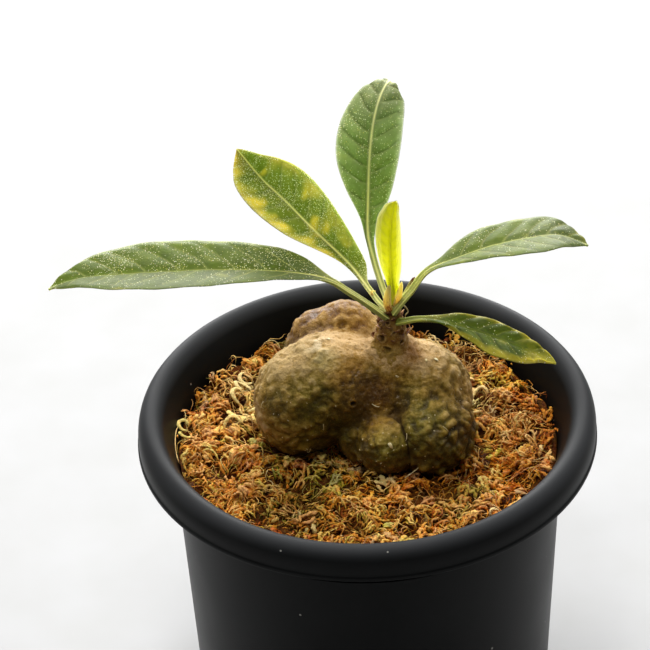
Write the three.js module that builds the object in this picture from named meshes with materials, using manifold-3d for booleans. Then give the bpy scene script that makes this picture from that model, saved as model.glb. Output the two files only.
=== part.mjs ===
// Ant plant in a plastic nursery pot: a lobed, warty caudex with a short stem and roots, five grown leaves and a
// young one, set in long-fibred sphagnum moss.
// Units are millimetres and +Z is up. The origin is the centre of the pot's base. The plant is looked at from -Y,
// with its longest leaf reaching towards -X.
import * as THREE from "three";
import { mergeVertices } from "three/addons/utils/BufferGeometryUtils.js";
import Module from "manifold-3d";

const wasm = await Module();
wasm.setup();

// Pot: a thin moulded shell with a rolled rim, a foot ring and drain holes.
const POT_HEIGHT = 125;
const RIM_RADIUS = 75;
const WALL_TOP_RADIUS = 63.4;
const WALL_TOP_Z = 104;
const BASE_RADIUS = 57.9;
const WALL = 1.8;
const FOOT_CHAMFER = 1.2;
const LIP_HEIGHT = 1.3;
const LIP_Z = POT_HEIGHT - 11.1;
const FOOT_DISC_RADIUS = 26;
const FOOT_RING_INNER = 51;
const DRAIN_STEP = 2.5;
const STEP_SLOPE = 2;
const DRAIN_HOLE_RADIUS = 4.5;
const DRAIN_HOLE_CIRCLE = 39.5;
const DRAIN_HOLES = 8;
const POT_SEGMENTS = 44;
// The middle of the rolled rim's sheet, as radius and height, from the wall over the top and down to the lip.
const RIM_CURVE = [
  [WALL_TOP_RADIUS - WALL / 2, WALL_TOP_Z],
  [63.1, 109.5],
  [64.5, 115.2],
  [67, 121],
  [70.1, POT_HEIGHT - WALL / 2],
  [72.7, 121.8],
  [73.8, 117.6],
  [RIM_RADIUS - 0.9, LIP_Z],
];
const RIM_STEPS = 7;

// Moss: it fills the pot to a little under the rim.
const GAP = 0.4;
const MOSS_LEVEL = 110.6;
const MOSS_EDGE_RISE = 1.8;
const MOSS_TOP_RADIUS = 61.2;
const MOSS_BASE_RADIUS = 55.6;
const MOSS_SEGMENTS = 72;
const MOSS_RINGS = 9;
// Each tuft wave is [height, wave length, direction in degrees, shift].
const TUFT_WAVES = [
  [0.75, 23, 12, 0.4],
  [0.7, 17, 74, 1.9],
  [0.6, 12.5, 131, 3.1],
  [0.5, 10.5, 38, 5.2],
];

// Caudex: lobes as [x, y, z, x radius, y radius, z radius, softness of the join].
const CAUDEX_HEART = [1, 4, 122];
const LOBES = [
  [-21.3, 5, 124.6, 15.4, 16.2, 18.2, 0.9], // big left lobe
  [-11, 7, 129.6, 18, 16.8, 18, 1.1], // its upper right shoulder
  [-15, 25.5, 127, 11, 12, 17.5, 1.2], // back lobe, left half
  [-5.5, 24.5, 129.4, 12.4, 14, 18.3, 1.3], // back lobe, right half
  [6, 8, 122.5, 18, 18, 20, 1.5], // middle body
  [9.2, 5.5, 138.4, 8.8, 8.6, 12, 3.0], // neck below the stem
  [18.7, 6, 124.5, 15.6, 17, 18, 1.4], // right shoulder
  [20.8, -6.5, 119.5, 14, 14.2, 14.5, 0.9], // low right lobe
  [6.1, -11.7, 118.7, 9.6, 9.8, 10, 0.8], // low front knob
  [-3.6, -5.6, 117.2, 6, 7.2, 8, 0.8], // small knob beside it
  [17, 21, 118, 14, 14, 14, 1.4], // back right lobe
];
const CAUDEX_REACH = 64;
const CAUDEX_DETAIL = 13;
const WARTS = 380;
const WART_RADIUS = [1.5, 3.1];
const WART_HEIGHT = [0.35, 1.05];
const SMOOTH_NEAR_STEM = [13, 27];

// Stem: [x, y, z, radius] up its axis.
const STEM = [
  [8.6, 5, 143, 7.4],
  [8.6, 5, 146.5, 6.1],
  [8.7, 5, 149.5, 5.0],
  [8.8, 5.1, 152.5, 4.6],
  [9.0, 5.3, 155.5, 3.9],
  [9.3, 5.7, 158.2, 3.4],
  [9.5, 5.9, 160.6, 2.7],
  [9.5, 5.9, 161.8, 1.3],
];
const STEM_SIDES = 18;
const SCAR_RIDGE = 0.28;

// Roots: they leave the underside of the caudex and spread down into the moss.
const ROOTS = 6;
const ROOT_RADIUS = [1.7, 0.7];
const ROOT_SIDES = 6;
const ROOT_STEPS = 7;

// Leaves
const BLADE_THICKNESS = 0.75;
const MIDRIB_DEPTH = [1.9, 0.25];
const MIDRIB_HALF_WIDTH = 1.15;
const PETIOLE_HALF_WIDTH = 1.25;
const LEAF_RINGS = 19;
// Places across the blade, from one margin to the other, closer together at the midrib.
const ACROSS = [-1, -0.58, -0.17, 0, 0.17, 0.58, 1];
// Each leaf: its midrib's route from the stem to the tip, the way its upper face looks at the base and at the tip,
// its fold along the midrib in degrees at the base and at the tip, where the blade starts along the route, the
// waves of its margins as height, count and shift, and its half widths at the stations, to the left and to the
// right of the midrib for an eye that looks along it with the upper face up.
const STATIONS = [0.1, 0.2, 0.35, 0.5, 0.65, 0.8, 0.9];
const LEAVES = {
  leaf_left: {
    route: [
      [8.6, 4.6, 155.2], [2.6, 2.6, 163.4], [-4, 1.5, 170.5], [-10.5, 1, 176.2], [-24.6, 0, 180.6],
      [-45.2, -1, 183.1], [-59, -2, 183.9], [-76.2, -2, 183.6], [-90, -3, 183.2], [-99.4, -5, 181.2],
    ],
    faces: [[0, 0, 1], [0, 0.02, 1]],
    fold: [9, 9],
    bladeStart: 0.2,
    waves: [0.3, 6, 0.3],
    left: [3.4, 7.4, 11.7, 13.5, 13.2, 10.6, 7.2],
    right: [5.2, 9.4, 12.2, 13.5, 13.9, 11.3, 6.6],
  },
  leaf_back_left: {
    route: [
      [8.6, 6.6, 156.2], [3.4, 11.2, 159.6], [-3.7, 17, 166.3], [-14.9, 23, 179.7], [-23.8, 27, 189.5],
      [-30.6, 29, 196.5], [-38.3, 30, 207.9],
    ],
    faces: [[0.1, -0.8, 0.6], [0.2, -0.8, 0.5]],
    fold: [12, 12],
    bladeStart: 0.16,
    waves: [0.25, 4, 1.1],
    left: [1.2, 2, 4.8, 8.2, 9.7, 9.3, 7.2],
    right: [4.2, 6.2, 9, 10.7, 11.1, 8.8, 4.6],
  },
  leaf_back: {
    route: [
      [9.3, 6.6, 158.8], [7.4, 10.6, 163.6], [3.9, 14, 172.3], [2.5, 17, 181.7], [2.9, 20, 193.8],
      [4, 23, 209.8], [5.4, 26, 219.8], [6.8, 28.8, 225.6], [7.8, 31.8, 227.6], [8.4, 34.8, 226.4], [8.6, 37, 223],
    ],
    faces: [[0, -0.9, 0.35], [0, -0.35, 1]],
    fold: [7, 5],
    bladeStart: 0.2,
    waves: [0.25, 5, 2.2],
    left: [1, 2.2, 7.2, 10.9, 11.3, 9, 6.6],
    right: [1.8, 4.2, 7.6, 9.4, 9.9, 9.2, 7.4],
  },
  leaf_right: {
    route: [
      [9.8, 5.6, 157.2], [14.8, 6.8, 165.8], [20.6, 10, 172.3], [31.4, 14, 173.8], [43.4, 18, 175.2],
      [55.2, 21, 175.4], [63.5, 23, 174.6], [73.9, 24, 169.5],
    ],
    faces: [[0, 0.05, 1], [0, 0.12, 1]],
    fold: [10, 2],
    bladeStart: 0.22,
    waves: [0.3, 5, 0.9],
    left: [2.4, 5.4, 9.7, 11.1, 11.5, 11.6, 9.6],
    right: [2.4, 4.8, 8, 10.8, 11.8, 9.7, 5.4],
  },
  leaf_low_right: {
    route: [
      [9.6, 4.9, 153.6], [14.9, 3, 156.4], [21.3, 1, 158.4], [27, -1, 159.2], [37.7, -4, 157.1],
      [48.2, -8, 154.6], [55.8, -11, 152.2], [60.8, -14, 151.1],
    ],
    faces: [[0, -0.1, 1], [0.1, -0.1, 1]],
    fold: [5, 5],
    bladeStart: 0.16,
    waves: [0.3, 4, 2.6],
    left: [2.4, 4.2, 6.4, 7.3, 7.1, 5.4, 2.9],
    right: [1.5, 2.8, 5.9, 8.6, 9.3, 6.9, 3.8],
  },
  leaf_young: {
    route: [
      [9.5, 5.6, 161.0], [9.4, 5, 165.8], [9.2, 4.5, 176.4], [9.3, 4.5, 188], [10.3, 5.5, 197.2], [11.5, 7, 201.2],
    ],
    faces: [[-0.15, -1, 0.1], [-0.3, -1, 0.2]],
    fold: [38, 38],
    bladeStart: 0.1,
    waves: [0.1, 3, 0.5],
    rings: 13,
    left: [0.9, 1.3, 2.2, 3.5, 4.5, 4.6, 3.5],
    right: [2.2, 3.2, 4.5, 4.9, 4.9, 4.2, 2.8],
  },
};

// Small parts at the shoot tip: route, half width and thickness of each.
const SHOOT_PARTS = {
  bud_scale_left: {
    route: [[8.4, 4.4, 159.8], [7.6, 3, 162.6], [7.3, 2.6, 165.2], [7.7, 2.9, 168.6]],
    halfWidth: 1.5,
    thickness: 0.7,
    face: [-0.5, -1, 0.2],
  },
  bud_scale_right: {
    route: [[10.8, 5.1, 159.8], [12.3, 4.4, 162.6], [12.9, 4, 165.2], [13, 4.1, 168.8]],
    halfWidth: 1.15,
    thickness: 0.7,
    face: [1, -0.6, 0.2],
  },
  petiole_stub: {
    route: [[11.6, 7.9, 158.8], [14.2, 9.8, 162.4], [16.0, 10.8, 166.2]],
    halfWidth: 0.75,
    thickness: 1.3,
    face: [0, -1, 0.4],
  },
};

const POT_PLASTIC = { color: 0x1c1d1e, roughness: 0.5, metalness: 0 };
const DRY_MOSS = { color: 0xa8743a, roughness: 0.95, metalness: 0 };
const CAUDEX_BARK = { color: 0x6e5f35, roughness: 0.55, metalness: 0 };
const GREEN_LEAF = { color: 0x55703a, roughness: 0.5, metalness: 0 };
const YELLOWING_LEAF = { color: 0x8b8f35, roughness: 0.5, metalness: 0 };
const YOUNG_LEAF = { color: 0xb4bf2c, roughness: 0.45, metalness: 0 };
const BUD_SCALE = { color: 0xb98a3a, roughness: 0.6, metalness: 0 };

// A repeatable stream of numbers from 0 to 1 (the mulberry32 generator).
function randomStream(seed) {
  let state = seed;
  return () => {
    state = (state + 0x6d2b79f5) | 0;
    let t = Math.imul(state ^ (state >>> 15), 1 | state);
    t = (t + Math.imul(t ^ (t >>> 7), 61 | t)) ^ t;
    return ((t ^ (t >>> 14)) >>> 0) / 4294967296;
  };
}

const mix = (a, b, t) => a + (b - a) * t;
const vec = (p) => new THREE.Vector3(p[0], p[1], p[2]);
const radians = THREE.MathUtils.degToRad;

// Turns a closed three.js geometry into a solid that can be joined and cut.
function toSolid(geometry) {
  const bare = geometry.index ? geometry.toNonIndexed() : geometry.clone();
  bare.deleteAttribute("normal");
  bare.deleteAttribute("uv");
  const merged = mergeVertices(bare, 1e-4);
  return new wasm.Manifold(
    new wasm.Mesh({
      numProp: 3,
      vertProperties: merged.attributes.position.array,
      triVerts: new Uint32Array(merged.index.array),
    }),
  );
}

// Turns a solid back into a geometry for a mesh.
function toGeometry(solid) {
  const mesh = solid.getMesh();
  const geometry = new THREE.BufferGeometry();
  geometry.setAttribute("position", new THREE.BufferAttribute(new Float32Array(mesh.vertProperties), 3));
  geometry.setIndex(new THREE.BufferAttribute(new Uint32Array(mesh.triVerts), 1));
  geometry.computeVertexNormals();
  return geometry;
}

// Keeps the biggest body of a solid, so that a scrap left by a cut is dropped.
function largestBody(solid) {
  return solid.decompose().reduce((a, b) => (b.volume() > a.volume() ? b : a));
}

// Skins a row of rings of points into a closed geometry. With twoFaced set, a ring runs over one face of a blade
// and back along the other, and both faces are split along the same diagonals.
function loft(rings, twoFaced = false) {
  const sides = rings[0].length;
  const positions = rings.flat().flatMap((p) => [p.x, p.y, p.z]);
  const index = [];
  for (let i = 0; i < rings.length - 1; i++) {
    for (let k = 0; k < sides; k++) {
      const next = (k + 1) % sides;
      const [a, b, c, d] = [i * sides + k, i * sides + next, (i + 1) * sides + k, (i + 1) * sides + next];
      if (twoFaced && k >= sides / 2) index.push(a, b, c, b, d, c);
      else index.push(a, b, d, a, d, c);
    }
  }
  for (const [ring, turn] of [[0, 1], [rings.length - 1, -1]]) {
    const centre = new THREE.Vector3();
    rings[ring].forEach((p) => centre.addScaledVector(p, 1 / sides));
    const hub = positions.length / 3;
    positions.push(centre.x, centre.y, centre.z);
    for (let k = 0; k < sides; k++) {
      const [a, b] = [ring * sides + k, ring * sides + ((k + 1) % sides)];
      index.push(...(turn > 0 ? [hub, b, a] : [hub, a, b]));
    }
  }
  const geometry = new THREE.BufferGeometry();
  geometry.setAttribute("position", new THREE.BufferAttribute(new Float32Array(positions), 3));
  geometry.setIndex(index);
  return geometry;
}

// Points beside a profile curve, at an even distance to its left.
function offsetCurve(points, distance, steps) {
  const curve = new THREE.SplineCurve(points.map(([r, z]) => new THREE.Vector2(r, z)));
  return Array.from({ length: steps + 1 }, (_, i) => {
    const at = curve.getPoint(i / steps);
    const way = curve.getTangent(i / steps);
    return [at.x - way.y * distance, at.y + way.x * distance];
  });
}

// The pot's shell: one profile turned about the axis, with drain holes bored in its raised floor ring.
function makePot() {
  const foot = [
    [0, 0],
    [FOOT_DISC_RADIUS, 0],
    [FOOT_DISC_RADIUS + STEP_SLOPE, DRAIN_STEP],
    [FOOT_RING_INNER - STEP_SLOPE, DRAIN_STEP],
    [FOOT_RING_INNER, 0],
    [BASE_RADIUS - FOOT_CHAMFER, 0],
    [BASE_RADIUS, FOOT_CHAMFER],
  ];
  const under = offsetCurve(RIM_CURVE, -WALL / 2, RIM_STEPS);
  const lip = [
    [RIM_RADIUS, LIP_Z],
    [RIM_RADIUS, LIP_Z + LIP_HEIGHT],
    [RIM_RADIUS - 0.6, LIP_Z + LIP_HEIGHT + 0.4],
  ];
  const over = offsetCurve(RIM_CURVE, WALL / 2, RIM_STEPS).reverse().slice(1);
  const floor = [
    [BASE_RADIUS - WALL + 0.2, DRAIN_STEP + WALL + 3],
    [FOOT_RING_INNER + 1, DRAIN_STEP + WALL],
    [FOOT_DISC_RADIUS + STEP_SLOPE, DRAIN_STEP + WALL],
    [FOOT_DISC_RADIUS, WALL],
    [0, WALL],
  ];
  const profile = [...foot, ...under, ...lip, ...over, ...floor].map(([r, z]) => new THREE.Vector2(r, z));
  // A lathe turns about Y, so the shell is stood up on Z.
  let pot = toSolid(new THREE.LatheGeometry(profile, POT_SEGMENTS).rotateX(Math.PI / 2));
  for (let i = 0; i < DRAIN_HOLES; i++) {
    const angle = (i / DRAIN_HOLES) * 2 * Math.PI;
    const bore = new THREE.CylinderGeometry(DRAIN_HOLE_RADIUS, DRAIN_HOLE_RADIUS, 20, 14).rotateX(Math.PI / 2);
    bore.translate(DRAIN_HOLE_CIRCLE * Math.cos(angle), DRAIN_HOLE_CIRCLE * Math.sin(angle), 0);
    pot = pot.subtract(toSolid(bore));
  }
  return pot;
}

// How far a point is inside the lobes joined together: above 0 inside, 0 on the skin.
// It is the sum over the lobes of exp(-distance / softness), less 1.
function insideLobes(x, y, z) {
  let sum = -1;
  for (const [cx, cy, cz, rx, ry, rz, soft] of LOBES) {
    const scaled = Math.hypot((x - cx) / rx, (y - cy) / ry, (z - cz) / rz);
    sum += Math.exp((-(scaled - 1) * Math.min(rx, ry, rz)) / soft);
  }
  return sum;
}

// The distance from the caudex's heart to its skin along a unit direction: a walk inwards, then a bisection.
function lobeRadius(way) {
  const [hx, hy, hz] = CAUDEX_HEART;
  const inside = (r) => insideLobes(hx + way.x * r, hy + way.y * r, hz + way.z * r) > 0;
  let outer = CAUDEX_REACH;
  while (!inside(outer - 0.5)) outer -= 0.5;
  let inner = outer - 0.5;
  for (let i = 0; i < 12; i++) {
    const middle = (inner + outer) / 2;
    if (inside(middle)) inner = middle;
    else outer = middle;
  }
  return inner;
}

// Unit directions spread evenly over a sphere by the golden angle.
function evenDirections(count) {
  return Array.from({ length: count }, (_, i) => {
    const z = 1 - (2 * i + 1) / count;
    const turn = i * Math.PI * (3 - Math.sqrt(5));
    const r = Math.sqrt(1 - z * z);
    return new THREE.Vector3(r * Math.cos(turn), r * Math.sin(turn), z);
  });
}

// The warts: rounded bumps strewn over the skin, none close to the stem.
function makeWarts() {
  const random = randomStream(7);
  const stemFoot = vec(STEM[2]);
  return evenDirections(WARTS).map((way) => {
    way.x += (random() - 0.5) * 0.12;
    way.y += (random() - 0.5) * 0.12;
    way.z += (random() - 0.5) * 0.12;
    way.normalize();
    const at = vec(CAUDEX_HEART).addScaledVector(way, lobeRadius(way));
    const open = THREE.MathUtils.smoothstep(at.distanceTo(stemFoot), ...SMOOTH_NEAR_STEM);
    const size = random();
    return { at, radius: mix(...WART_RADIUS, size), height: open * mix(...WART_HEIGHT, random()) };
  });
}

// The caudex's skin as a geometry: the lobes and the warts, standing out by spare on every side.
function caudexSkin(warts, spare) {
  const sphere = new THREE.IcosahedronGeometry(1, CAUDEX_DETAIL);
  sphere.deleteAttribute("normal");
  sphere.deleteAttribute("uv");
  const geometry = mergeVertices(sphere, 1e-4);
  const position = geometry.attributes.position;
  const heart = vec(CAUDEX_HEART);
  const way = new THREE.Vector3();
  for (let i = 0; i < position.count; i++) {
    way.fromBufferAttribute(position, i).normalize();
    const radius = lobeRadius(way);
    const at = heart.clone().addScaledVector(way, radius);
    let raised = 0;
    for (const wart of warts) {
      const share = at.distanceTo(wart.at) / wart.radius;
      if (share < 1) raised = Math.max(raised, wart.height * (1 - share * share));
    }
    at.addScaledVector(way, raised + spare);
    position.setXYZ(i, at.x, at.y, at.z);
  }
  return geometry;
}

// The stem with the ridges of old leaf scars, thicker by spare.
function stemSkin(spare) {
  const rings = STEM.map(([x, y, z, radius], i) =>
    Array.from({ length: STEM_SIDES }, (_, k) => {
      const angle = (k / STEM_SIDES) * 2 * Math.PI;
      const ridge = i < STEM.length - 1 ? SCAR_RIDGE * Math.sin(3 * angle + i * 1.9) * (i > 1 ? 1 : 0) : 0;
      const r = radius + ridge + spare;
      return new THREE.Vector3(x + r * Math.cos(angle), y + r * Math.sin(angle), z);
    }),
  );
  if (spare) rings.at(-1).forEach((p) => (p.z += spare));
  return loft(rings);
}

// Root number i, thicker by spare: a tapering tube that starts inside the caudex and droops outwards.
function rootSkin(i, spare) {
  const angle = (i / ROOTS) * 2 * Math.PI + 0.4;
  const [hx, hy] = CAUDEX_HEART;
  const reach = 30 + 6 * Math.sin(i * 2.3);
  const depth = 66 + 8 * Math.cos(i * 1.7);
  const stations = [[8, 113], [13, 101], [20, 90], [reach - 3, 78], [reach, depth]];
  const curve = new THREE.CatmullRomCurve3(
    stations.map(([r, z], k) => {
      const turn = angle + 0.12 * k * Math.sin(i * 1.3);
      return new THREE.Vector3(hx + r * Math.cos(turn), hy + r * Math.sin(turn), z);
    }),
  );
  const frames = curve.computeFrenetFrames(ROOT_STEPS, false);
  const rings = frames.tangents.map((_, k) => {
    const at = curve.getPointAt(k / ROOT_STEPS);
    const r = mix(...ROOT_RADIUS, k / ROOT_STEPS) + spare;
    return Array.from({ length: ROOT_SIDES }, (_, n) => {
      const turn = (n / ROOT_SIDES) * 2 * Math.PI;
      return at
        .clone()
        .addScaledVector(frames.normals[k], r * Math.cos(turn))
        .addScaledVector(frames.binormals[k], r * Math.sin(turn));
    });
  });
  if (spare) rings.at(-1).forEach((p) => (p.z -= spare));
  return loft(rings);
}

// The caudex with its stem and roots, which grew as one piece.
function makeCaudex(warts) {
  let caudex = toSolid(caudexSkin(warts, 0)).add(toSolid(stemSkin(0)));
  for (let i = 0; i < ROOTS; i++) caudex = caudex.add(toSolid(rootSkin(i, 0)));
  return caudex;
}

// The height of the moss at a place: level, a little higher at the wall, and rough with tufts.
function mossHeight(x, y) {
  const share = Math.hypot(x, y) / MOSS_TOP_RADIUS;
  let z = MOSS_LEVEL + MOSS_EDGE_RISE * share ** 3;
  for (const [height, length, degrees, shift] of TUFT_WAVES) {
    const along = x * Math.cos(radians(degrees)) + y * Math.sin(radians(degrees));
    z += height * Math.sin((2 * Math.PI * along) / length + shift);
  }
  return z;
}

// The moss: a plug with a tufted top, and a hollow where the caudex and its roots sit.
function makeMoss(warts) {
  const rings = [];
  const ring = (radius, height) =>
    Array.from({ length: MOSS_SEGMENTS }, (_, k) => {
      const angle = (k / MOSS_SEGMENTS) * 2 * Math.PI;
      const [x, y] = [radius * Math.cos(angle), radius * Math.sin(angle)];
      return new THREE.Vector3(x, y, height ?? mossHeight(x, y));
    });
  rings.push(ring(MOSS_BASE_RADIUS, DRAIN_STEP + WALL + 0.3 + 3));
  for (let i = MOSS_RINGS; i > 0; i--) rings.push(ring((MOSS_TOP_RADIUS * i) / MOSS_RINGS));
  const foot = ring(FOOT_RING_INNER, DRAIN_STEP + WALL + 0.3);
  let moss = toSolid(loft([foot, ...rings]));
  moss = moss.subtract(toSolid(caudexSkin(warts, GAP)));
  for (let i = 0; i < ROOTS; i++) moss = moss.subtract(toSolid(rootSkin(i, GAP)));
  return largestBody(moss);
}

// A blade's half width at a share t of its length, on a smooth curve through its widths at the stations.
function halfWidthAt(widths, t) {
  const stops = [[0, PETIOLE_HALF_WIDTH], ...STATIONS.map((station, i) => [station, widths[i]]), [1, 0]];
  const next = Math.max(1, stops.findIndex(([station]) => station >= t));
  const [before, [from, a], [to, b], after] = [-2, -1, 0, 1].map((k) => stops[next + k]);
  const u = (THREE.MathUtils.clamp(t, 0, 1) - from) / (to - from);
  const enter = before ? ((b - before[1]) / (to - before[0])) * (to - from) : 0;
  const leave = after ? ((after[1] - a) / (after[0] - from)) * (to - from) : 1.6 * (b - a);
  const [u2, u3] = [u * u, u * u * u];
  return a * (2 * u3 - 3 * u2 + 1) + enter * (u3 - 2 * u2 + u) + b * (3 * u2 - 2 * u3) + leave * (u3 - u2);
}

// The frame of a blade at a share s of its route: the way along, the way to its right margin and the way up.
function bladeFrame(curve, faces, s) {
  const along = curve.getTangentAt(s);
  const hint = vec(faces[0]).lerp(vec(faces[1]), s);
  const right = new THREE.Vector3().crossVectors(along, hint).normalize();
  return { right, up: new THREE.Vector3().crossVectors(right, along) };
}

// A leaf with its petiole: one thin folded blade along a curved midrib, thickest under the midrib.
function makeLeaf({ route, faces, fold, bladeStart, waves, left, right: rightWidths, rings: count = LEAF_RINGS }) {
  const curve = new THREE.CatmullRomCurve3(route.map(vec), false, "centripetal");
  const [waveHeight, waveCount, waveShift] = waves;
  const rings = Array.from({ length: count + 1 }, (_, i) => {
    const s = i / count;
    const t = (s - bladeStart) / (1 - bladeStart);
    const { right, up } = bladeFrame(curve, faces, s);
    const at = curve.getPointAt(s);
    const rib = mix(...MIDRIB_DEPTH, s ** 0.6);
    const open = THREE.MathUtils.smoothstep(t, 0, 0.25);
    const bend = radians(mix(...fold, THREE.MathUtils.clamp(t, 0, 1)) * open);
    const face = ACROSS.map((u) => {
      const reach = Math.abs(u) * Math.max(t > 0 ? halfWidthAt(u > 0 ? rightWidths : left, t) : PETIOLE_HALF_WIDTH, 0.35);
      const wave = waveHeight * open * u * u * Math.sin(2 * Math.PI * waveCount * t + waveShift + (u > 0 ? 1.3 : 0));
      const middle = at.clone().addScaledVector(right, Math.sign(u) * reach * Math.cos(bend));
      middle.addScaledVector(up, reach * Math.sin(bend) + wave);
      return { middle, ridge: rib * Math.exp(-((reach / MIDRIB_HALF_WIDTH) ** 2)) };
    });
    const top = face.map((f) => f.middle.clone().addScaledVector(up, BLADE_THICKNESS / 2));
    const bottom = face.map((f) => f.middle.clone().addScaledVector(up, -BLADE_THICKNESS / 2 - f.ridge));
    return [...top, ...bottom.reverse()];
  });
  return toSolid(loft(rings, true));
}

// A bud scale or petiole stub: a short pointed tongue, cupped and tapering from its foot.
function makeShootPart({ route, halfWidth, thickness, face }) {
  const curve = new THREE.CatmullRomCurve3(route.map(vec));
  const steps = 5;
  const sides = 8;
  const rings = Array.from({ length: steps + 1 }, (_, i) => {
    const s = i / steps;
    const { right, up } = bladeFrame(curve, [face, face], s);
    const at = curve.getPointAt(s);
    const w = halfWidth * Math.max(0.2, 1 - s ** 2.2);
    const h = (thickness / 2) * Math.max(0.55, 1 - 0.5 * s);
    return Array.from({ length: sides }, (_, k) => {
      const turn = (k / sides) * 2 * Math.PI;
      return at
        .clone()
        .addScaledVector(right, -w * Math.cos(turn))
        .addScaledVector(up, h * Math.sin(turn));
    });
  });
  return toSolid(loft(rings));
}

// Puts a solid in the group as a named mesh.
const plant = new THREE.Group();
function place(name, solid, finish) {
  const mesh = new THREE.Mesh(toGeometry(solid), new THREE.MeshStandardMaterial(finish));
  mesh.name = name;
  plant.add(mesh);
}

const LEAF_FINISH = { leaf_back_left: YELLOWING_LEAF, leaf_young: YOUNG_LEAF };
const warts = makeWarts();
const stemRoom = toSolid(stemSkin(GAP));
const caudex = makeCaudex(warts);

place("pot", makePot(), POT_PLASTIC);
place("moss", makeMoss(warts), DRY_MOSS);
place("caudex", caudex, CAUDEX_BARK);

// Each leaf and shoot part is cut to sit against the stem and clear of those placed before it.
const shoot = [];
function placeOnStem(name, solid, finish) {
  let cut = solid.subtract(stemRoom);
  for (const other of shoot) cut = cut.subtract(other);
  const body = largestBody(cut);
  shoot.push(body);
  place(name, body, finish);
}
for (const [name, leaf] of Object.entries(LEAVES)) {
  placeOnStem(name, makeLeaf(leaf), LEAF_FINISH[name] ?? GREEN_LEAF);
}
for (const [name, part] of Object.entries(SHOOT_PARTS)) {
  placeOnStem(name, makeShootPart(part), BUD_SCALE);
}

export default plant;
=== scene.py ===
# %% [markdown]
# # A potted ant plant
#
# An ant plant keeps a swollen, warty stem foot, the caudex, above the moss that it grows in. This lesson
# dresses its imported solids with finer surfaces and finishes: a satin black nursery pot, long-fibred sphagnum
# moss, the caudex with its short stem, and the leaves with their veins. Every shape is a function worked out
# with numpy as whole arrays in millimetres, and turned to metres when it becomes a mesh. The frame is the
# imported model's own: the origin is the centre of the pot's base, +Z is up, and the plant is looked at from
# -Y.

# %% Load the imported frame
import math
import bmesh
import bpy
import numpy as np
from mathutils import Matrix, Vector


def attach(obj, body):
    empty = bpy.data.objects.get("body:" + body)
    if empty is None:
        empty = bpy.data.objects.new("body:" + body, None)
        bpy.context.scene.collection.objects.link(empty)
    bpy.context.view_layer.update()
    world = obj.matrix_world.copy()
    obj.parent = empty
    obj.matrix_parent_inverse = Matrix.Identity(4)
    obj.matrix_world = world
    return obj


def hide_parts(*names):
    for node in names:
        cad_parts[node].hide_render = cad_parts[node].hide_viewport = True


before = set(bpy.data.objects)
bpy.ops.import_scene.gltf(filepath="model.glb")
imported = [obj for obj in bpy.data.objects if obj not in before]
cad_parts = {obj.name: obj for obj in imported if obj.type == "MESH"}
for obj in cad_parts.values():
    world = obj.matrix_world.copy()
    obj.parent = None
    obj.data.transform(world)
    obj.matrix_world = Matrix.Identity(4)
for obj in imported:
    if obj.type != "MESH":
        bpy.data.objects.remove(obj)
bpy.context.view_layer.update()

MM = 0.001

# %% [markdown]
# ## The camera
#
# The photograph looks down on the pot at 36 degrees from about 1.3 m away, with a long lens and a slight
# roll. The values come from the ellipses of the rim and of the lip below it. A camera could be aimed with a
# tracking constraint, but a matrix built from its own three axes says the same without one.

# %% Camera
AIM = np.array([-12.414, 0.0, 158.947])
DISTANCE = 1281.018
TILT, ROLL = math.radians(36.343), math.radians(-2.235)
FOCAL_LENGTH = 221.54

forward = np.array([0, math.cos(TILT), -math.sin(TILT)])
level_up = np.array([0, math.sin(TILT), math.cos(TILT)])
level_right = np.array([1.0, 0, 0])
camera_right = level_right * math.cos(ROLL) + level_up * math.sin(ROLL)
camera_up = level_up * math.cos(ROLL) - level_right * math.sin(ROLL)
eye = (AIM - forward * DISTANCE) * MM

lens = bpy.data.cameras.new("camera")
lens.sensor_width = 36
lens.lens = FOCAL_LENGTH
camera = bpy.data.objects.new("camera", lens)
axes = np.stack([camera_right, camera_up, -forward], 1)
camera.matrix_world = Matrix([[*row, place] for row, place in zip(axes, eye)] + [[0, 0, 0, 1]])
bpy.context.collection.objects.link(camera)
bpy.context.scene.camera = camera
print("camera at", [round(float(v), 3) for v in eye], "m")

# %% [markdown]
# ## Colours, nodes and meshes
#
# A few small helpers carry the whole lesson. One turns a hex colour, as it is read from a screen, to the
# linear values that a shader works with. Others add a node with its settings and links, and give short names
# to the nodes that are used most. The last ones turn arrays of points and faces to a mesh that rides on the
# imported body, with its material and the values that the material reads from it.

# %% Colours as linear values
def linear(shade):
    """The linear red, green, blue and alpha of an sRGB hex colour such as 6b5a2c."""
    part = np.array([int(shade[i:i + 2], 16) / 255 for i in (0, 2, 4)])
    part = np.where(part <= 0.04045, part / 12.92, ((part + 0.055) / 1.055) ** 2.4)
    return (*part.tolist(), 1.0)


print("mid grey 808080 is", round(linear("808080")[0], 3), "linear")

# %% A node with its settings and links
def add(tree, kind, inputs=None, **settings):
    """Adds a node with its settings. An input given a socket is linked to it, and one given a value is
    set."""
    node = tree.nodes.new(kind)
    for name, value in settings.items():
        setattr(node, name, value)
    for name, value in (inputs or {}).items():
        socket = node.inputs[name]
        if isinstance(value, bpy.types.NodeSocket):
            tree.links.new(value, socket)
        else:
            socket.default_value = value
    return node


def new_finish(name, **inputs):
    """A material with one Principled shader. Inputs are named with underscores for the spaces."""
    material = bpy.data.materials.new(name)
    material.use_nodes = True
    shader = material.node_tree.nodes["Principled BSDF"]
    for socket, value in inputs.items():
        shader.inputs[socket.replace("_", " ")].default_value = value
    return material, material.node_tree, shader


def drive(tree, shader, **sockets):
    """Links sockets to the shader's inputs, named with underscores for the spaces."""
    for name, socket in sockets.items():
        tree.links.new(socket, shader.inputs[name.replace("_", " ")])


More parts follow.
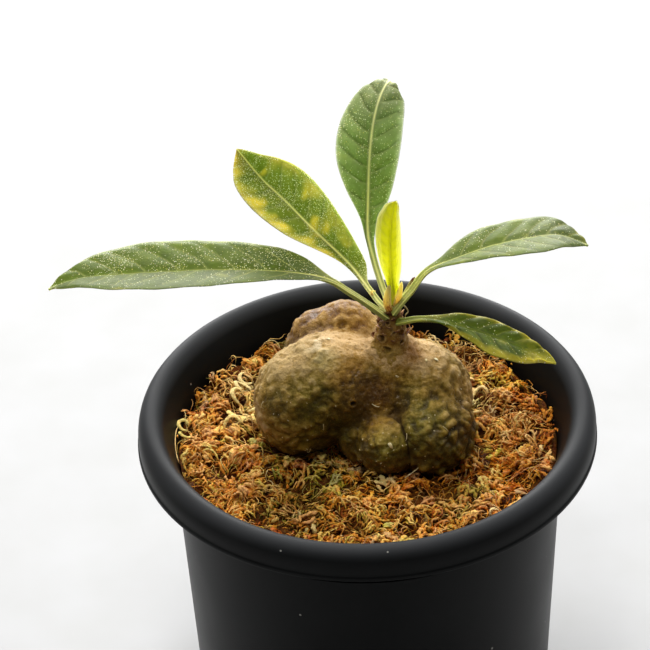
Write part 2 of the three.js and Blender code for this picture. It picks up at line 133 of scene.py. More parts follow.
def mesh_values(tree, keys):
    """A socket for each value that the mesh keeps under one of the keys."""
    return {key: add(tree, "ShaderNodeAttribute", attribute_name=key).outputs["Fac"] for key in keys}


print("nodes:", add.__name__, "finishes:", new_finish.__name__)

# %% Numbers between nodes
def calc(tree, operation, *values):
    """The result of an operation on numbers or sockets."""
    return add(tree, "ShaderNodeMath", dict(enumerate(values)), operation=operation).outputs[0]


def ranged(tree, value, start, end, low=0.0, high=1.0):
    """A number that goes from low to high while the value goes from start to end, and no further."""
    names = ("Value", "From Min", "From Max", "To Min", "To Max")
    return add(tree, "ShaderNodeMapRange", dict(zip(names, (value, start, end, low, high)))).outputs[0]


def noise(tree, place, scale, detail=2.0, roughness=0.5):
    """A smooth random number round 0.5."""
    inputs = {"Vector": place, "Scale": scale, "Detail": detail, "Roughness": roughness}
    return add(tree, "ShaderNodeTexNoise", inputs).outputs["Fac"]


def stirred(tree, value, random, strength):
    """A value moved up and down by a random number round 0.5."""
    return calc(tree, "MULTIPLY_ADD", calc(tree, "SUBTRACT", random, 0.5), strength, value)


def bump(tree, strength, distance, height, normal=None):
    """A normal tilted by a height, whose step from 0 to 1 stands for a distance in metres."""
    inputs = {"Strength": strength, "Distance": distance, "Height": height}
    if normal is not None:
        inputs["Normal"] = normal
    return add(tree, "ShaderNodeBump", inputs).outputs[0]


print("numbers:", [helper.__name__ for helper in (calc, ranged, noise, stirred, bump)])

# %% Colours between nodes
def ramp(tree, value, *stops):
    """A colour by a value. Stops are places and hex colours, in rising order."""
    node = add(tree, "ShaderNodeValToRGB", {"Fac": value})
    bands = node.color_ramp.elements
    bands.remove(bands[1])
    bands[0].position, bands[0].color = stops[0][0], linear(stops[0][1])
    for place, shade in stops[1:]:
        bands.new(place).color = linear(shade)
    return node.outputs[0]


def layered(tree, tone, layers):
    """A tone under layers, the lowest first. A layer is a strength, a mask and a colour, in hex or as a
    socket."""
    for strength, mask, shade in layers:
        shade = linear(shade) if isinstance(shade, str) else shade
        inputs = {0: calc(tree, "MULTIPLY", mask, strength), 6: tone, 7: shade}
        tone = add(tree, "ShaderNodeMix", inputs, data_type="RGBA").outputs[2]
    return tone


print("colours:", ramp.__name__, "and", layered.__name__)

# %% Faces over a grid of points
def grid_faces(rows, columns):
    """Quads between the rows of a grid whose rows close on themselves."""
    row, column = np.meshgrid(np.arange(rows - 1) * columns, np.arange(columns), indexing="ij")
    beside = (column + 1) % columns
    corners = [row + column, row + beside, row + columns + beside, row + columns + column]
    return np.stack(corners, -1).reshape(-1, 4)


def with_ends(values):
    """The values of rings of points as one list, with the means of the first and the last ring at its end."""
    ends = [end.mean(1).reshape(1, -1) for end in (values[:1], values[-1:])]
    return np.concatenate([values.reshape(values.shape[0] * values.shape[1], -1), *ends]).squeeze()


def skin(rings):
    """Points and faces of a closed skin over rings of points. Rings is an array of rows x columns x 3, each
    row closes on itself, and the first and the last row are closed with a fan to their middle point. The
    faces are turned outwards, which the sign of the enclosed volume tells."""
    rows, columns, _ = rings.shape
    points, quads = with_ends(rings), grid_faces(rows, columns)
    k, first, last = np.arange(columns), rows * columns, rows * columns + 1
    next_k, end = (k + 1) % columns, (rows - 1) * columns
    caps = [np.stack([k * 0 + first, next_k, k], -1), np.stack([k * 0 + last, end + k, end + next_k], -1)]
    caps = np.concatenate(caps)
    corner = points[np.concatenate([quads[:, [0, 1, 2]], quads[:, [0, 2, 3]], caps])] - points.mean(0)
    volume = np.einsum("ij,ij->i", corner[:, 0], np.cross(corner[:, 1], corner[:, 2])).sum()
    if volume < 0:
        quads, caps = quads[:, ::-1], caps[:, ::-1]
    return points, (quads, caps)


print("a ring skin of 3 x 8 points has", len(skin(np.random.default_rng(0).random((3, 8, 3)))[1][0]), "quads")

# %% A piece from points and faces
def make_piece(name, points, faces, material, slot, nodes, uv=None, values=None):
    """A smooth mesh from points in millimetres and (quads, triangles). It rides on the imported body, stands
    for the nodes, and keeps a value for every point under each name in values."""
    quads, triangles = faces
    corners = np.concatenate([quads.ravel(), triangles.ravel()]).astype(np.int32)
    starts = np.concatenate([np.arange(len(quads)) * 4, len(quads) * 4 + np.arange(len(triangles)) * 3])
    mesh = bpy.data.meshes.new(name)
    mesh.vertices.add(len(points))
    mesh.vertices.foreach_set("co", (points * MM).astype(np.float32).ravel())
    mesh.loops.add(len(corners))
    mesh.loops.foreach_set("vertex_index", corners)
    mesh.polygons.add(len(starts))
    mesh.polygons.foreach_set("loop_start", starts.astype(np.int32))
    mesh.update(calc_edges=True)
    mesh.shade_smooth()
    if uv is not None:
        mesh.uv_layers.new(name="UVMap").data.foreach_set("uv", uv[corners].astype(np.float32).ravel())
    for key, value in (values or {}).items():
        mesh.attributes.new(key, "FLOAT", "POINT").data.foreach_set("value", value.astype(np.float32))
    mesh.materials.append(material)
    piece = bpy.data.objects.new(name, mesh)
    bpy.context.collection.objects.link(piece)
    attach(piece, "root")
    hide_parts(*nodes)
    print(name, "has", len(quads) * 2 + len(triangles), "triangles")
    return piece


def ring_piece(name, rings, material, slot, nodes, values, uv=None):
    """A piece from rings of points, with the values and the UV of the same points."""
    points, faces = skin(rings)
    values = {key: with_ends(value) for key, value in values.items()}
    make_piece(name, points, faces, material, slot, nodes, None if uv is None else with_ends(uv), values)


print("pieces:", make_piece.__name__, "and", ring_piece.__name__)

# %% Smooth steps and mixtures
def step(value, low, high):
    """0 below low, 1 above high, and a smooth S between them."""
    t = np.clip((value - low) / (high - low), 0, 1)
    return t * t * (3 - 2 * t)


def mix(a, b, t):
    """From a to b as t goes from 0 to 1."""
    return a + (b - a) * t


def unit(vectors):
    """The vectors with their lengths made 1."""
    return vectors / np.maximum(np.linalg.norm(vectors, axis=-1, keepdims=True), 1e-9)


def round_angles(count):
    """Angles evenly round a circle, from 0."""
    return np.arange(count) / count * 2 * np.pi


print("the middle of a smooth step is", float(step(0.5, 0, 1)))

# %% [markdown]
# ## Random fields
#
# Natural surfaces need two kinds of randomness. A smooth field gives patches and waves: random numbers at the
# corners of cubes, blended between them. A field of dots gives warts, pits and pores: one random point in
# every cube, and the distance to the nearest of them. Both take a size in millimetres, so the scale of a
# pattern is the scale of the real thing, and both are plain arithmetic on whole arrays, the same at every
# run.

# %% A smooth field and a field of dots
def hashed(cell, seed):
    """A random number from 0 to 1 for every cube of whole-numbered corners, by mixing the bits of its
    numbers."""
    part = cell.astype(np.int64).astype(np.uint32)
    key = part[..., 0] * np.uint32(374761393) + part[..., 1] * np.uint32(668265263)
    key = key + part[..., 2] * np.uint32(2246822519) + np.uint32(seed * 3266489917 % 2**32)
    key = (key ^ (key >> np.uint32(15))) * np.uint32(2654435761)
    key = (key ^ (key >> np.uint32(13))) * np.uint32(3266489917)
    return (key ^ (key >> np.uint32(16))).astype(np.float64) / 2**32


def waves(points, size, seed=0):
    """A smooth random field from -1 to 1, whose patches are about size wide."""
    place = points / size + 0.37 * seed
    cell = np.floor(place)
    share = place - cell
    share = share * share * (3 - 2 * share)
    total = 0
    for corner in np.ndindex(2, 2, 2):
        weight = np.prod(np.where(np.array(corner), share, 1 - share), axis=-1)
        total = total + weight * hashed(cell + corner, seed)
    return total * 2 - 1


def flat_waves(x, y, size, seed=0):
    """The smooth field over a plane."""
    return waves(np.stack([x, y, 0 * x], -1), size, seed)


def dots(points, size, seed=0):
    """Random points, one to a cube of that size: the distance to the nearest, how much farther the second
    nearest is, and the nearest one's own number. The second is 0 along the creases between two points'
    regions."""
    cell = np.floor(points / size)
    nearest = np.full(points.shape[:-1], np.inf)
    second = nearest.copy()
    number = np.zeros(points.shape[:-1])
    for offset in np.ndindex(3, 3, 3):
        other = cell + offset - 1
        place = (other + np.stack([hashed(other, seed + k) for k in (1, 2, 3)], -1)) * size
        distance = np.linalg.norm(points - place, axis=-1)
        closer = distance < nearest
        second = np.where(closer, nearest, np.minimum(second, distance))
        number = np.where(closer, hashed(other, seed + 4), number)
        nearest = np.where(closer, distance, nearest)
    return nearest, second - nearest, number


probe = np.random.default_rng(1).random((2000, 3)) * 50
print("spread of the smooth field:", round(float(waves(probe, 5).std()), 2))
print("mean distance to a dot:", round(float(dots(probe, 5)[0].mean()), 2), "mm for cubes of 5 mm")

# %% [markdown]
# ## Floor and light
#
# The plant stands on a white table under large softboxes. Most of the light comes from above and behind, so
# the floor behind is blown out to white, the front of the pot is nearly black, and its rim and flanks carry
# soft grey reflections. Area lights of about a metre do this. A small one in front and above puts glints on
# the caudex, and a dim grey world fills the shadows.

# %% Floor
floor_finish, tree, shader = new_finish("white_table_paper", Roughness=0.9, IOR=1.45)
grain = noise(tree, add(tree, "ShaderNodeTexCoord").outputs["Object"], 40.0)
drive(tree, shader, Base_Color=ramp(tree, grain, (0.3, "b6b6b5"), (0.7, "bababa")))

floor_mesh = bpy.data.meshes.new("floor")
floor_mesh.from_pydata([(-6, -6, 0), (6, -6, 0), (6, 6, 0), (-6, 6, 0)], [], [(0, 1, 2, 3)])
floor_mesh.materials.append(floor_finish)
floor = bpy.data.objects.new("floor", floor_mesh)
bpy.context.collection.objects.link(floor)

# %% Softboxes
def softbox(name, place, aim, size, power):
    """A square area light at place, in metres, that faces the aim."""
    light = bpy.data.lights.new(name, "AREA")
    light.size = size
    light.energy = power
    lamp = bpy.data.objects.new(name, light)
    lamp.location = place
    lamp.rotation_euler = (Vector(aim) - Vector(place)).to_track_quat("-Z", "Y").to_euler()
    bpy.context.collection.objects.link(lamp)


softbox("softbox_behind", (0.0, 1.8, 0.6), (0, 0.1, 0.1), 1.5, 68)
softbox("softbox_above", (-0.04, 0.42, 1.35), (0, 0, 0.12), 0.85, 20.8)
softbox("softbox_front", (-0.15, -0.45, 1.4), (0, 0, 0.15), 0.24, 4.4)
softbox("softbox_left", (-1.5, 0.35, 0.6), (0, 0, 0.1), 1.3, 6)
softbox("softbox_right", (1.5, 0.35, 0.6), (0, 0, 0.1), 1.3, 6)

world = bpy.data.worlds.new("studio")
bpy.context.scene.world = world
world.use_nodes = True
world.node_tree.nodes["Background"].inputs["Color"].default_value = linear("f4f6f8")
world.node_tree.nodes["Background"].inputs["Strength"].default_value = 0.06
bpy.context.scene.view_settings.view_transform = "Standard"
print("lights:", [item.name for item in bpy.data.lights])

# %% [markdown]
# ## The pot
#
# Nursery pots are injection moulded from black polypropylene. Carbon black makes it almost as dark as paint,
# and the mould is blasted, so the skin is satin: the rim carries broad grey reflections and no sharp ones.
# The real one also has a thin film of dust on top of its rim, dust specks, and faint scuffs from handling. The
# film's grey is also a painted highlight: it stands for part of the rim's sheen. A lathe of one profile is the
# natural way to draw it. The drain holes break the turning symmetry, so the ring of the floor is made of eight
# patches, each a grid that runs from the patch's outline to its hole.

# %% Smooth paths and rounded corners
def cubic(start, end, enter, leave, t):
    """A cubic from start to end as t goes from 0 to 1, with the slopes enter and leave at its ends."""
    return (start * (2 * t**3 - 3 * t**2 + 1) + enter * (t**3 - 2 * t**2 + t)
            + end * (3 * t**2 - 2 * t**3) + leave * (t**3 - t**2))


def smooth_path(points, shares):
    """Places and unit directions on a smooth curve through the points, at shares of its length. Between two
    points the curve is a cubic whose slopes come from the neighbours, spaced by the square root of their
    distance."""
    points = np.asarray(points, float)
    ends = [2 * points[0] - points[1], 2 * points[-1] - points[-2]]
    p0, p1, p2, p3 = (np.array([ends[0], *points, ends[1]])[k:k + len(points) - 1] for k in range(4))
    gap = [np.sqrt(np.linalg.norm(b - a, axis=1))[:, None] for a, b in ((p0, p1), (p1, p2), (p2, p3))]
    enter = ((p1 - p0) / gap[0] - (p2 - p0) / (gap[0] + gap[1]) + (p2 - p1) / gap[1]) * gap[1]
    leave = ((p2 - p1) / gap[1] - (p3 - p1) / (gap[1] + gap[2]) + (p3 - p2) / gap[2]) * gap[1]
    t = np.linspace(0, 1, 81)[:-1, None, None]
    dense = cubic(p1, p2, enter, leave, t)
    dense = np.concatenate([dense.transpose(1, 0, 2).reshape(-1, points.shape[1]), points[-1:]])
    length = np.concatenate([[0], np.cumsum(np.linalg.norm(np.diff(dense, axis=0), axis=1))])
    way = np.gradient(dense, length, axis=0)
    at = np.stack([np.interp(shares * length[-1], length, column) for column in dense.T], -1)
    return at, unit(np.stack([np.interp(shares * length[-1], length, column) for column in way.T], -1))


def rounded(corners, radius):
    """A profile with its inner corners rounded: each is replaced by four points of a parabola between its
    sides."""
    p = np.array(corners, float)
    before, corner, after = p[:-2], p[1:-1], p[2:]
    reach = [np.minimum(radius, 0.45 * np.linalg.norm(q - corner, axis=1))[:, None] for q in (before, after)]
    start = corner + unit(before - corner) * reach[0]
    end = corner + unit(after - corner) * reach[1]
    t = np.linspace(0, 1, 4)[:, None, None]
    bends = start * (1 - t) ** 2 + 2 * corner * t * (1 - t) + end * t**2
    return np.concatenate([p[:1], bends.transpose(1, 0, 2).reshape(-1, 2), p[-1:]])


print("paths:", smooth_path.__name__, "corners:", rounded.__name__)

# %% The pot's profile
RIM_RADIUS, BASE_RADIUS, WALL, POT_HEIGHT = 75.0, 57.9, 1.8, 125.0
LIP_Z = POT_HEIGHT - 11.1
RIM_CURVE = np.array([  # radius, height
    [62.5, 104], [63.1, 109.5], [64.4, 115], [66.2, 119.6], [67.9, 122.6], [70.4, 124], [72.6, 122.8],
    [73.7, 119.9], [73.6, 113.9],
])
FLOOR_UNDER, FLOOR_TOP = 2.5, 4.3
RING_OUTER, RING_INNER = 49.0, 28.0

rim_middle, rim_way = smooth_path(RIM_CURVE, np.linspace(0, 1, 34))
rim_left = np.stack([-rim_way[:, 1], rim_way[:, 0]], -1)
under, over = rim_middle - rim_left * WALL / 2, rim_middle + rim_left * WALL / 2
foot = [[RING_OUTER, FLOOR_UNDER], [51, 0], [BASE_RADIUS - 1.2, 0], [BASE_RADIUS, 1.2], under[0], under[1]]
lip = [under[-1], [RIM_RADIUS, LIP_Z], [RIM_RADIUS, LIP_Z + 1.3], [74.6, LIP_Z + 1.7], over[-4]]
inner_floor = [over[0], [56.3, 7.3], [52, FLOOR_TOP], [RING_OUTER, FLOOR_TOP]]
wall_profile = np.concatenate([
    rounded(foot, 0.8)[:-2], under, rounded(lip, 0.35)[1:-1], over[::-1][3:-1], rounded(inner_floor, 1.2),
])
disc_profile = np.array([  # radius, height
    [RING_INNER, FLOOR_TOP], [26.6, 2.1], [26, 1.8], [12, 1.8], [0.01, 1.8],
    [0.01, 0], [12, 0], [26, 0], [26.5, 0.4], [RING_INNER, FLOOR_UNDER],
])
print("profile points:", len(wall_profile), "and", len(disc_profile))

# %% The pot's mesh
POT_AROUND = 192
DRAIN_HOLES, HOLE_RADIUS, HOLE_CIRCLE = 8, 4.5, 39.5


def lathe(profile, around):
    """Rings of points: every point of the profile turned about the Z axis."""
    turn = round_angles(around)
    rings = profile[:, None, :1] * np.stack([np.cos(turn), np.sin(turn)], -1)
    return np.concatenate([rings, np.broadcast_to(profile[:, None, 1:], (*rings.shape[:2], 1))], -1)


def drain_patch(number):
    """One eighth of the floor ring round its hole: six rings that go from the patch's outline below, in to
    the hole's lower edge, up its wall, and out to the outline above."""
    arc = np.linspace(-0.5, 0.5, POT_AROUND // DRAIN_HOLES + 1) * 2 * np.pi / DRAIN_HOLES
    side = np.linspace(0, 1, 8)[1:-1]
    inwards = mix(RING_OUTER, RING_INNER, side)
    radius = np.concatenate([arc * 0 + RING_OUTER, inwards, arc * 0 + RING_INNER, inwards[::-1]])
    angle = np.concatenate([arc, side * 0 + arc[-1], arc[::-1], side * 0 + arc[0]])
    outline = np.stack([radius * np.cos(angle), radius * np.sin(angle)], -1)
    centre = np.array([HOLE_CIRCLE, 0])
    edge = centre + unit(outline - centre) * HOLE_RADIUS
    flat = np.stack([outline, mix(outline, edge, 0.6), edge])
    flat = np.concatenate([flat, flat[::-1]])
    level = np.broadcast_to(np.repeat([FLOOR_UNDER, FLOOR_TOP], 3)[:, None, None], (*flat.shape[:2], 1))
    turn = number / DRAIN_HOLES * 2 * np.pi
    turned = flat @ np.array([[np.cos(turn), np.sin(turn)], [-np.sin(turn), np.cos(turn)]])
    return np.concatenate([turned, level], -1)


shells = [lathe(profile, POT_AROUND) for profile in (wall_profile, disc_profile)]
shells += [drain_patch(number) for number in range(DRAIN_HOLES)]
pot_points = np.concatenate([shell.reshape(-1, 3) for shell in shells])
starts = np.cumsum([0] + [shell.shape[0] * shell.shape[1] for shell in shells])
pot_quads = np.concatenate([grid_faces(*shell.shape[:2]) + at for shell, at in zip(shells, starts)])
print("pot points:", len(pot_points))

# %% [markdown]
# The finish reads Object coordinates in metres, so a noise scale of 2500 is a grain of 0.4 mm, which is what
# a blasted mould leaves. The film of dust lies by height: it starts 4 mm below the top of the rim, and makes
# it greyer and duller; its grey is also a painted highlight along the top of the rim. Dust specks sit in a
# field of dots where only a few cells, picked by their own number, show one. Scuffs are a stretched noise that
# is shown only where a second, broad noise is high.

# %% Satin black polypropylene
pot_finish, tree, shader = new_finish("satin_black_polypropylene", IOR=1.49, Specular_IOR_Level=0.06)
place = add(tree, "ShaderNodeTexCoord").outputs["Object"]
clouds = noise(tree, place, 45.0, 4.0)
height = add(tree, "ShaderNodeSeparateXYZ", {"Vector": place}).outputs["Z"]
# dust_and_sheen: real dust on the top 4 mm of the rim, whose grey is also a painted highlight for the rim's
# sheen
dust_and_sheen = ranged(tree, height, 0.1212, 0.1244, 0.0, 0.36)
cells = add(tree, "ShaderNodeTexVoronoi", {"Vector": place, "Scale": 210.0})
own = add(tree, "ShaderNodeSeparateColor", {"Color": cells.outputs["Color"]})
speck_radius = calc(tree, "MULTIPLY", own.outputs["Green"], 0.095)
speck = calc(tree, "LESS_THAN", cells.outputs["Distance"], speck_radius)
dust = calc(tree, "MULTIPLY", calc(tree, "GREATER_THAN", own.outputs["Red"], 0.88), speck)
stretch = add(tree, "ShaderNodeMapping",
              {"Vector": place, "Scale": (1.0, 1.0, 0.25), "Rotation": (0.3, 0.2, 0.0)})
scratch = ranged(tree, noise(tree, stretch.outputs[0], 900.0), 0.62, 0.72)
scuffed_area = ranged(tree, noise(tree, place, 28.0, 1.0), 0.64, 0.72)
black = ramp(tree, clouds, (0.3, "121313"), (0.75, "171818"))
scuff = calc(tree, "MULTIPLY", scuffed_area, scratch)
tone = layered(tree, black, [(1.0, dust_and_sheen, "4c4d4f"), (0.12, scuff, "6a6b6d"), (1.0, dust, "8f8d86")])
dull = calc(tree, "MULTIPLY_ADD", dust_and_sheen, 0.35, ranged(tree, clouds, 0.0, 1.0, 0.34, 0.46))
relief = bump(tree, 0.12, 0.0001, noise(tree, place, 2500.0, 1.0))
drive(tree, shader, Base_Color=tone, Roughness=dull, Normal=relief)

pot = make_piece("nursery_pot", pot_points, (pot_quads, np.zeros((0, 3), int)), pot_finish, "pot_plastic",
                 ["pot"])
shell = bmesh.new()
shell.from_mesh(pot.data)
bmesh.ops.remove_doubles(shell, verts=shell.verts, dist=1.2e-5)
bmesh.ops.dissolve_degenerate(shell, edges=shell.edges, dist=1e-6)
bmesh.ops.recalc_face_normals(shell, faces=shell.faces)
print("open edges of the pot:", sum(edge.is_boundary for edge in shell.edges))
shell.to_mesh(pot.data)
shell.free()
pot.data.shade_smooth()

# %% [markdown]
# ## The caudex
#
# The swollen stem foot is several lobes that grew into each other, with a grey-tan, finely pitted skin on top
# and a dark olive one below that is covered in blunt warts. Sculpting would do it, but a formula keeps it in
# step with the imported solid: the lobes are ellipsoids that melt together, and a point is on the skin where
# the sum of exp(-distance / softness) over the lobes is 1. Seen from its heart the skin is a single distance
# along every direction, so it is a function of two angles. The pole of the angles is aimed at the stem, where
# it is hidden.

# %% The lobes and their skin
HEART = np.array([1.0, 4.0, 122.0])
LOBES = np.array([  # centre, half axes, softness
    [-21.3, 5, 124.6, 15.4, 16.2, 18.2, 0.9],
    [-11, 7, 129.6, 18, 16.8, 18, 1.1],
    [-15, 25.5, 127, 11, 12, 17.5, 1.2],
    [-5.5, 24.5, 129.4, 12.4, 14, 18.3, 1.3],
    [6, 8, 122.5, 18, 18, 20, 1.5],
    [9.2, 5.5, 138.4, 8.8, 8.6, 12, 3.0],
    [18.7, 6, 124.5, 15.6, 17, 18, 1.4],
    [20.8, -6.5, 119.5, 14, 14.2, 14.5, 0.9],
    [6.1, -11.7, 118.7, 9.6, 9.8, 10, 0.8],
    [-3.6, -5.6, 117.2, 6, 7.2, 8, 0.8],
    [17, 21, 118, 14, 14, 14, 1.4],
])


def lobe_parts(points):
    """For every point and lobe, exp(-distance to the lobe / its softness)."""
    scaled = np.linalg.norm((points[..., None, :] - LOBES[:, :3]) / LOBES[:, 3:6], axis=-1)
    return np.exp(-(scaled - 1) * LOBES[:, 3:6].min(1) / LOBES[:, 6])


def skin_distance(ways):
    """The distance from the heart to the skin along unit directions: a walk inwards by half millimetres, then
    ten halvings of the last one."""
    reach = np.full(len(ways), 64.0)
    outside = np.arange(len(ways))
    while len(outside):
        reach[outside] -= 0.5
        inside = lobe_parts(HEART + ways[outside] * reach[outside, None]).sum(-1) > 1
        outside = outside[~inside]
    low, high = reach, reach + 0.5
    for _ in range(10):
        middle = (low + high) / 2
        inside = lobe_parts(HEART + ways * middle[:, None]).sum(-1) > 1
        low, high = np.where(inside, middle, low), np.where(inside, high, middle)
    return low


AROUND, ABOVE, BELOW = 450, 188, 20
pole = unit(np.array([7.7, 1.0, 27.5]))
side = unit(np.cross(pole, [0, 1, 0]))
front = np.cross(pole, side)
fall = np.concatenate([np.linspace(3.0, 118, ABOVE), np.linspace(118, 179, BELOW + 1)[1:]])
fall, turn = np.radians(fall)[:, None, None], round_angles(AROUND)[None, :, None]
ways = np.cos(fall) * pole + np.sin(fall) * (np.cos(turn) * side + np.sin(turn) * front)
base = HEART + ways * skin_distance(ways.reshape(-1, 3)).reshape(*ways.shape[:2], 1)
parts = lobe_parts(base)
crease = 1 - parts.max(-1) / parts.sum(-1)
slope = np.cross(np.gradient(base, axis=0), np.roll(base, -1, 1) - np.roll(base, 1, 1))
normal = unit(slope) * np.sign((slope * ways).sum(-1, keepdims=True))
print("caudex skin:", base.shape, "deepest crease", round(float(crease.max()), 2))

# %% [markdown]
# The relief is a sum of fields, each where the real skin has it. Blunt warts of 2 to 4 mm crowd the flanks.
# At the low right they melt into lumps of 8 mm with creases between them, which come from how much farther
# the second nearest dot is than the nearest. The shoulders and the neck are smooth, with pits of half a
# millimetre, and the back lobe is calmer and finely wrinkled. A few marks are placed one by one: the ant hole
# with its raised rim and painted shade inside it, one flat wart, a crater on the back lobe, small pearls, and a
# rough, dried patch on the left shoulder, whose pale colour is also a painted highlight.

# %% The caudex relief
def near(points, centre, radius):
    """1 at the centre, falling smoothly to 0 at the radius."""
    return 1 - step(np.linalg.norm(points - np.array(centre), axis=-1), 0, radius)


def blurred(values, reach):
    """The mean of a grid's values over a square window of that reach, twice. Its rows close on themselves."""
    wide = 2 * reach + 1
    for _ in range(2):
        padded = np.pad(np.pad(values, ((reach, reach), (0, 0)), "edge"), ((0, 0), (reach, reach)), "wrap")
        total = np.pad(padded.cumsum(0).cumsum(1), ((1, 0), (1, 0)))
        values = total[wide:, wide:] - total[:-wide, wide:] - total[wide:, :-wide] + total[:-wide, :-wide]
        values = values / wide**2
    return values


x, y, z = base[..., 0], base[..., 1], base[..., 2]
far_out = np.linalg.norm(base - HEART, axis=-1)
cavity = step(blurred(far_out, 13) - far_out, 0.2, 1.5)
back_lobe = step(y, 13, 17) * step(z, 132, 137) * step(-x, -4, 0)
smooth_top = step(z + 1.5 * waves(base, 7, 3), 136, 145) * step(x, -17, -9)
smooth_top = np.maximum(smooth_top, near(base, [3, -7, 135], 17))
smooth_top = np.maximum(smooth_top, near(base, [9, 5, 147], 22))
warty = np.clip(1 - smooth_top, 0, 1)
low_right = near(base, [27, -12, 122], 26)

distance, gap, number = dots(base + 0.6 * waves(base, 2.5, 10)[..., None], 4.2, 11)
wart = mix(1 - step(distance, 0.2, 2.9), step(gap, 0, 2.2), 0.7 * low_right) * mix(0.3, 1, number)
distance, _, number = dots(base + 0.3 * waves(base, 1.3, 29)[..., None], 2.1, 21)
small_wart = (1 - step(distance, 0, 1.3)) * mix(0.2, 1, number)
distance, _, number = dots(base, 1.4, 31)
pit = np.clip(1 - (distance / mix(0.3, 0.6, number)) ** 2, 0, 1)

_, gap, number = dots(base + 1.1 * waves(base, 5, 27)[..., None], 7.8, 28)
lump = step(gap, 0, 3.2) * mix(0.4, 1, number)
calm = 1 - 0.6 * back_lobe
relief_mm = wart * mix(0.85, 1.9, low_right) * mix(0.1, 1, warty) * calm
relief_mm += (lump - 0.5) * mix(0.2, 1.3, low_right) * mix(0.15, 1, warty) * calm
relief_mm += small_wart * mix(0.5, 0.6, low_right) * mix(0.25, 1, warty)
relief_mm += 0.55 * waves(base, 11, 4) + 0.4 * waves(base, 5, 5) * mix(0.4, 1, warty)
relief_mm += 0.3 * waves(base, 2.2, 6) + 0.2 * waves(base, 1.2, 7) - 0.22 * pit
relief_mm += back_lobe * (0.25 * waves(base * [1, 1, 1.6], 2.6, 8) + 0.25 * waves(base, 1.6, 24))
groove = step(crease, 0.3, 0.5) * step(x, 2, 8) * (1 - step(y, -4, 1)) * (1 - step(z, 128, 134))
relief_mm -= 0.6 * groove

# A rough, dried patch on the left shoulder; its pale colour in the finish is also a painted highlight.
patch = near(base, [-14.6, 4.4, 147], 7.5) * step(waves(base, 2.4, 9), -0.35, 0.2)
relief_mm += 0.3 * patch


def ring_mark(centre, rim_radius, rim_width, height, depth):
    """A round mark: a raised rim with a hollow inside it."""
    away = np.linalg.norm(base - np.array(centre), axis=-1)
    rim = height * np.exp(-(((away - rim_radius) / rim_width) ** 2))
    return rim - depth * (1 - step(away, 0.35 * rim_radius, rim_radius))


ANT_HOLE, CRATER, FLAT_WART = [-4.5, -8.4, 133.4], [-6.9, 18, 145.8], [29.3, 1.5, 136.9]
PEARLS = [[-26.5, -5.4, 137.2], [-22.8, -8.9, 133.9], [-19.7, -1.8, 142.6], [-16.4, 0, 145.1]]
relief_mm += ring_mark(ANT_HOLE, 1.1, 0.4, 0.4, 1.0)
relief_mm += ring_mark(CRATER, 2.2, 0.9, 0.5, 1.0)
relief_mm += 0.7 * (1 - step(np.linalg.norm(base - np.array(FLAT_WART), axis=-1), 1.6, 3.2))
for centre in PEARLS:
    relief_mm += 0.55 * near(base, centre, 1.2)
caudex_rings = base + normal * relief_mm[..., None]
# raised is how far a point stands above its neighbours; below it paints light on bumps and shade in pits
raised = np.clip((relief_mm - blurred(relief_mm, 4)) / 0.35, -1, 1)
print("relief from", round(float(relief_mm.min()), 2), "to", round(float(relief_mm.max()), 2), "mm")

# %% [markdown]
# ## The finish of the skin
#
# Caudex skin is a thin cork over green tissue. Where it has dried, on the shoulders, it is tan and dull, and
# the same paleness is painted as light on the flanks, on faces turned up and on every raised wart. Lower down
# it is olive to dark brown and waxy, which a coat gives that fades as the skin dries. Soil and old skin darken
# the creases, and painted shade darkens them more, with the pits between warts and the foot. The mesh carries
# how far each point has dried and is lit, how olive it is and how soiled and shaded, some of it placed one by
# one in spots that paint the skin paler or darker, and the nodes turn those to colours. Pores and grain below
# half a millimetre are bump.

# %% How far the skin has dried and is lit, how olive, and how soiled and shaded it is
SKIN_KEYS = ("dry", "olive", "soil", "rust", "patch", "hole")
RUST_SPOT = [15.5, 1.5, 146.2]
LIGHT_AND_SHADE_SPOTS = [  # painted light and shade: how much paler, below 0 darker, centre, radius
    (0.35, [-25, -8, 122], 17), (0.55, [-35, -1, 124], 9), (0.4, [9, 0, 144], 9), (-0.4, [2, -8, 134], 12),
    (-0.4, [-4, -3, 143], 8.5), (-0.25, [2.5, -2, 141.5], 5), (0.35, [19, -2.5, 140.5], 7),
    (-0.35, [21, -12, 133], 8), (0.45, [4.5, -9, 130], 5.5),
]


def skin_values(points, facing):
    """How far each point of the skin has dried and is lit: more with height, more where it faces up, which is
    painted light from above, and patchy; less at the front."""
    dry = 0.62 * step(points[..., 2], 126, 147) + 0.4 * step(facing[..., 2], 0.25, 0.95)
    dry = dry + 0.2 * waves(points, 9, 12) + 0.12 * waves(points, 3.5, 19)
    return np.clip(dry, 0, 1) * (1 - 0.12 * near(points, [3, -7, 137], 17))


def skin_look(shape, **values):
    """The skin's values over a grid of points: the given ones, and 0 for the others."""
    return {key: np.zeros(shape) + values.get(key, 0) for key in SKIN_KEYS}


# dry: how far the skin has dried, with painted light where it faces up and stands high
dry = mix(skin_values(base, normal), 0.45 + 0.17 * waves(base, 4, 25), back_lobe)
# lit_flank: the left and right edges, painted paler, less olive and less soiled: painted light from the sides
lit_flank = np.maximum(near(base, [-33, 4, 126], 19), near(base, [33, 2, 128], 16))
# Painted light on the warts and on raised bumps.
dry = dry + 0.12 * (wart - 0.5) * warty + 0.8 * lit_flank + 0.22 * raised
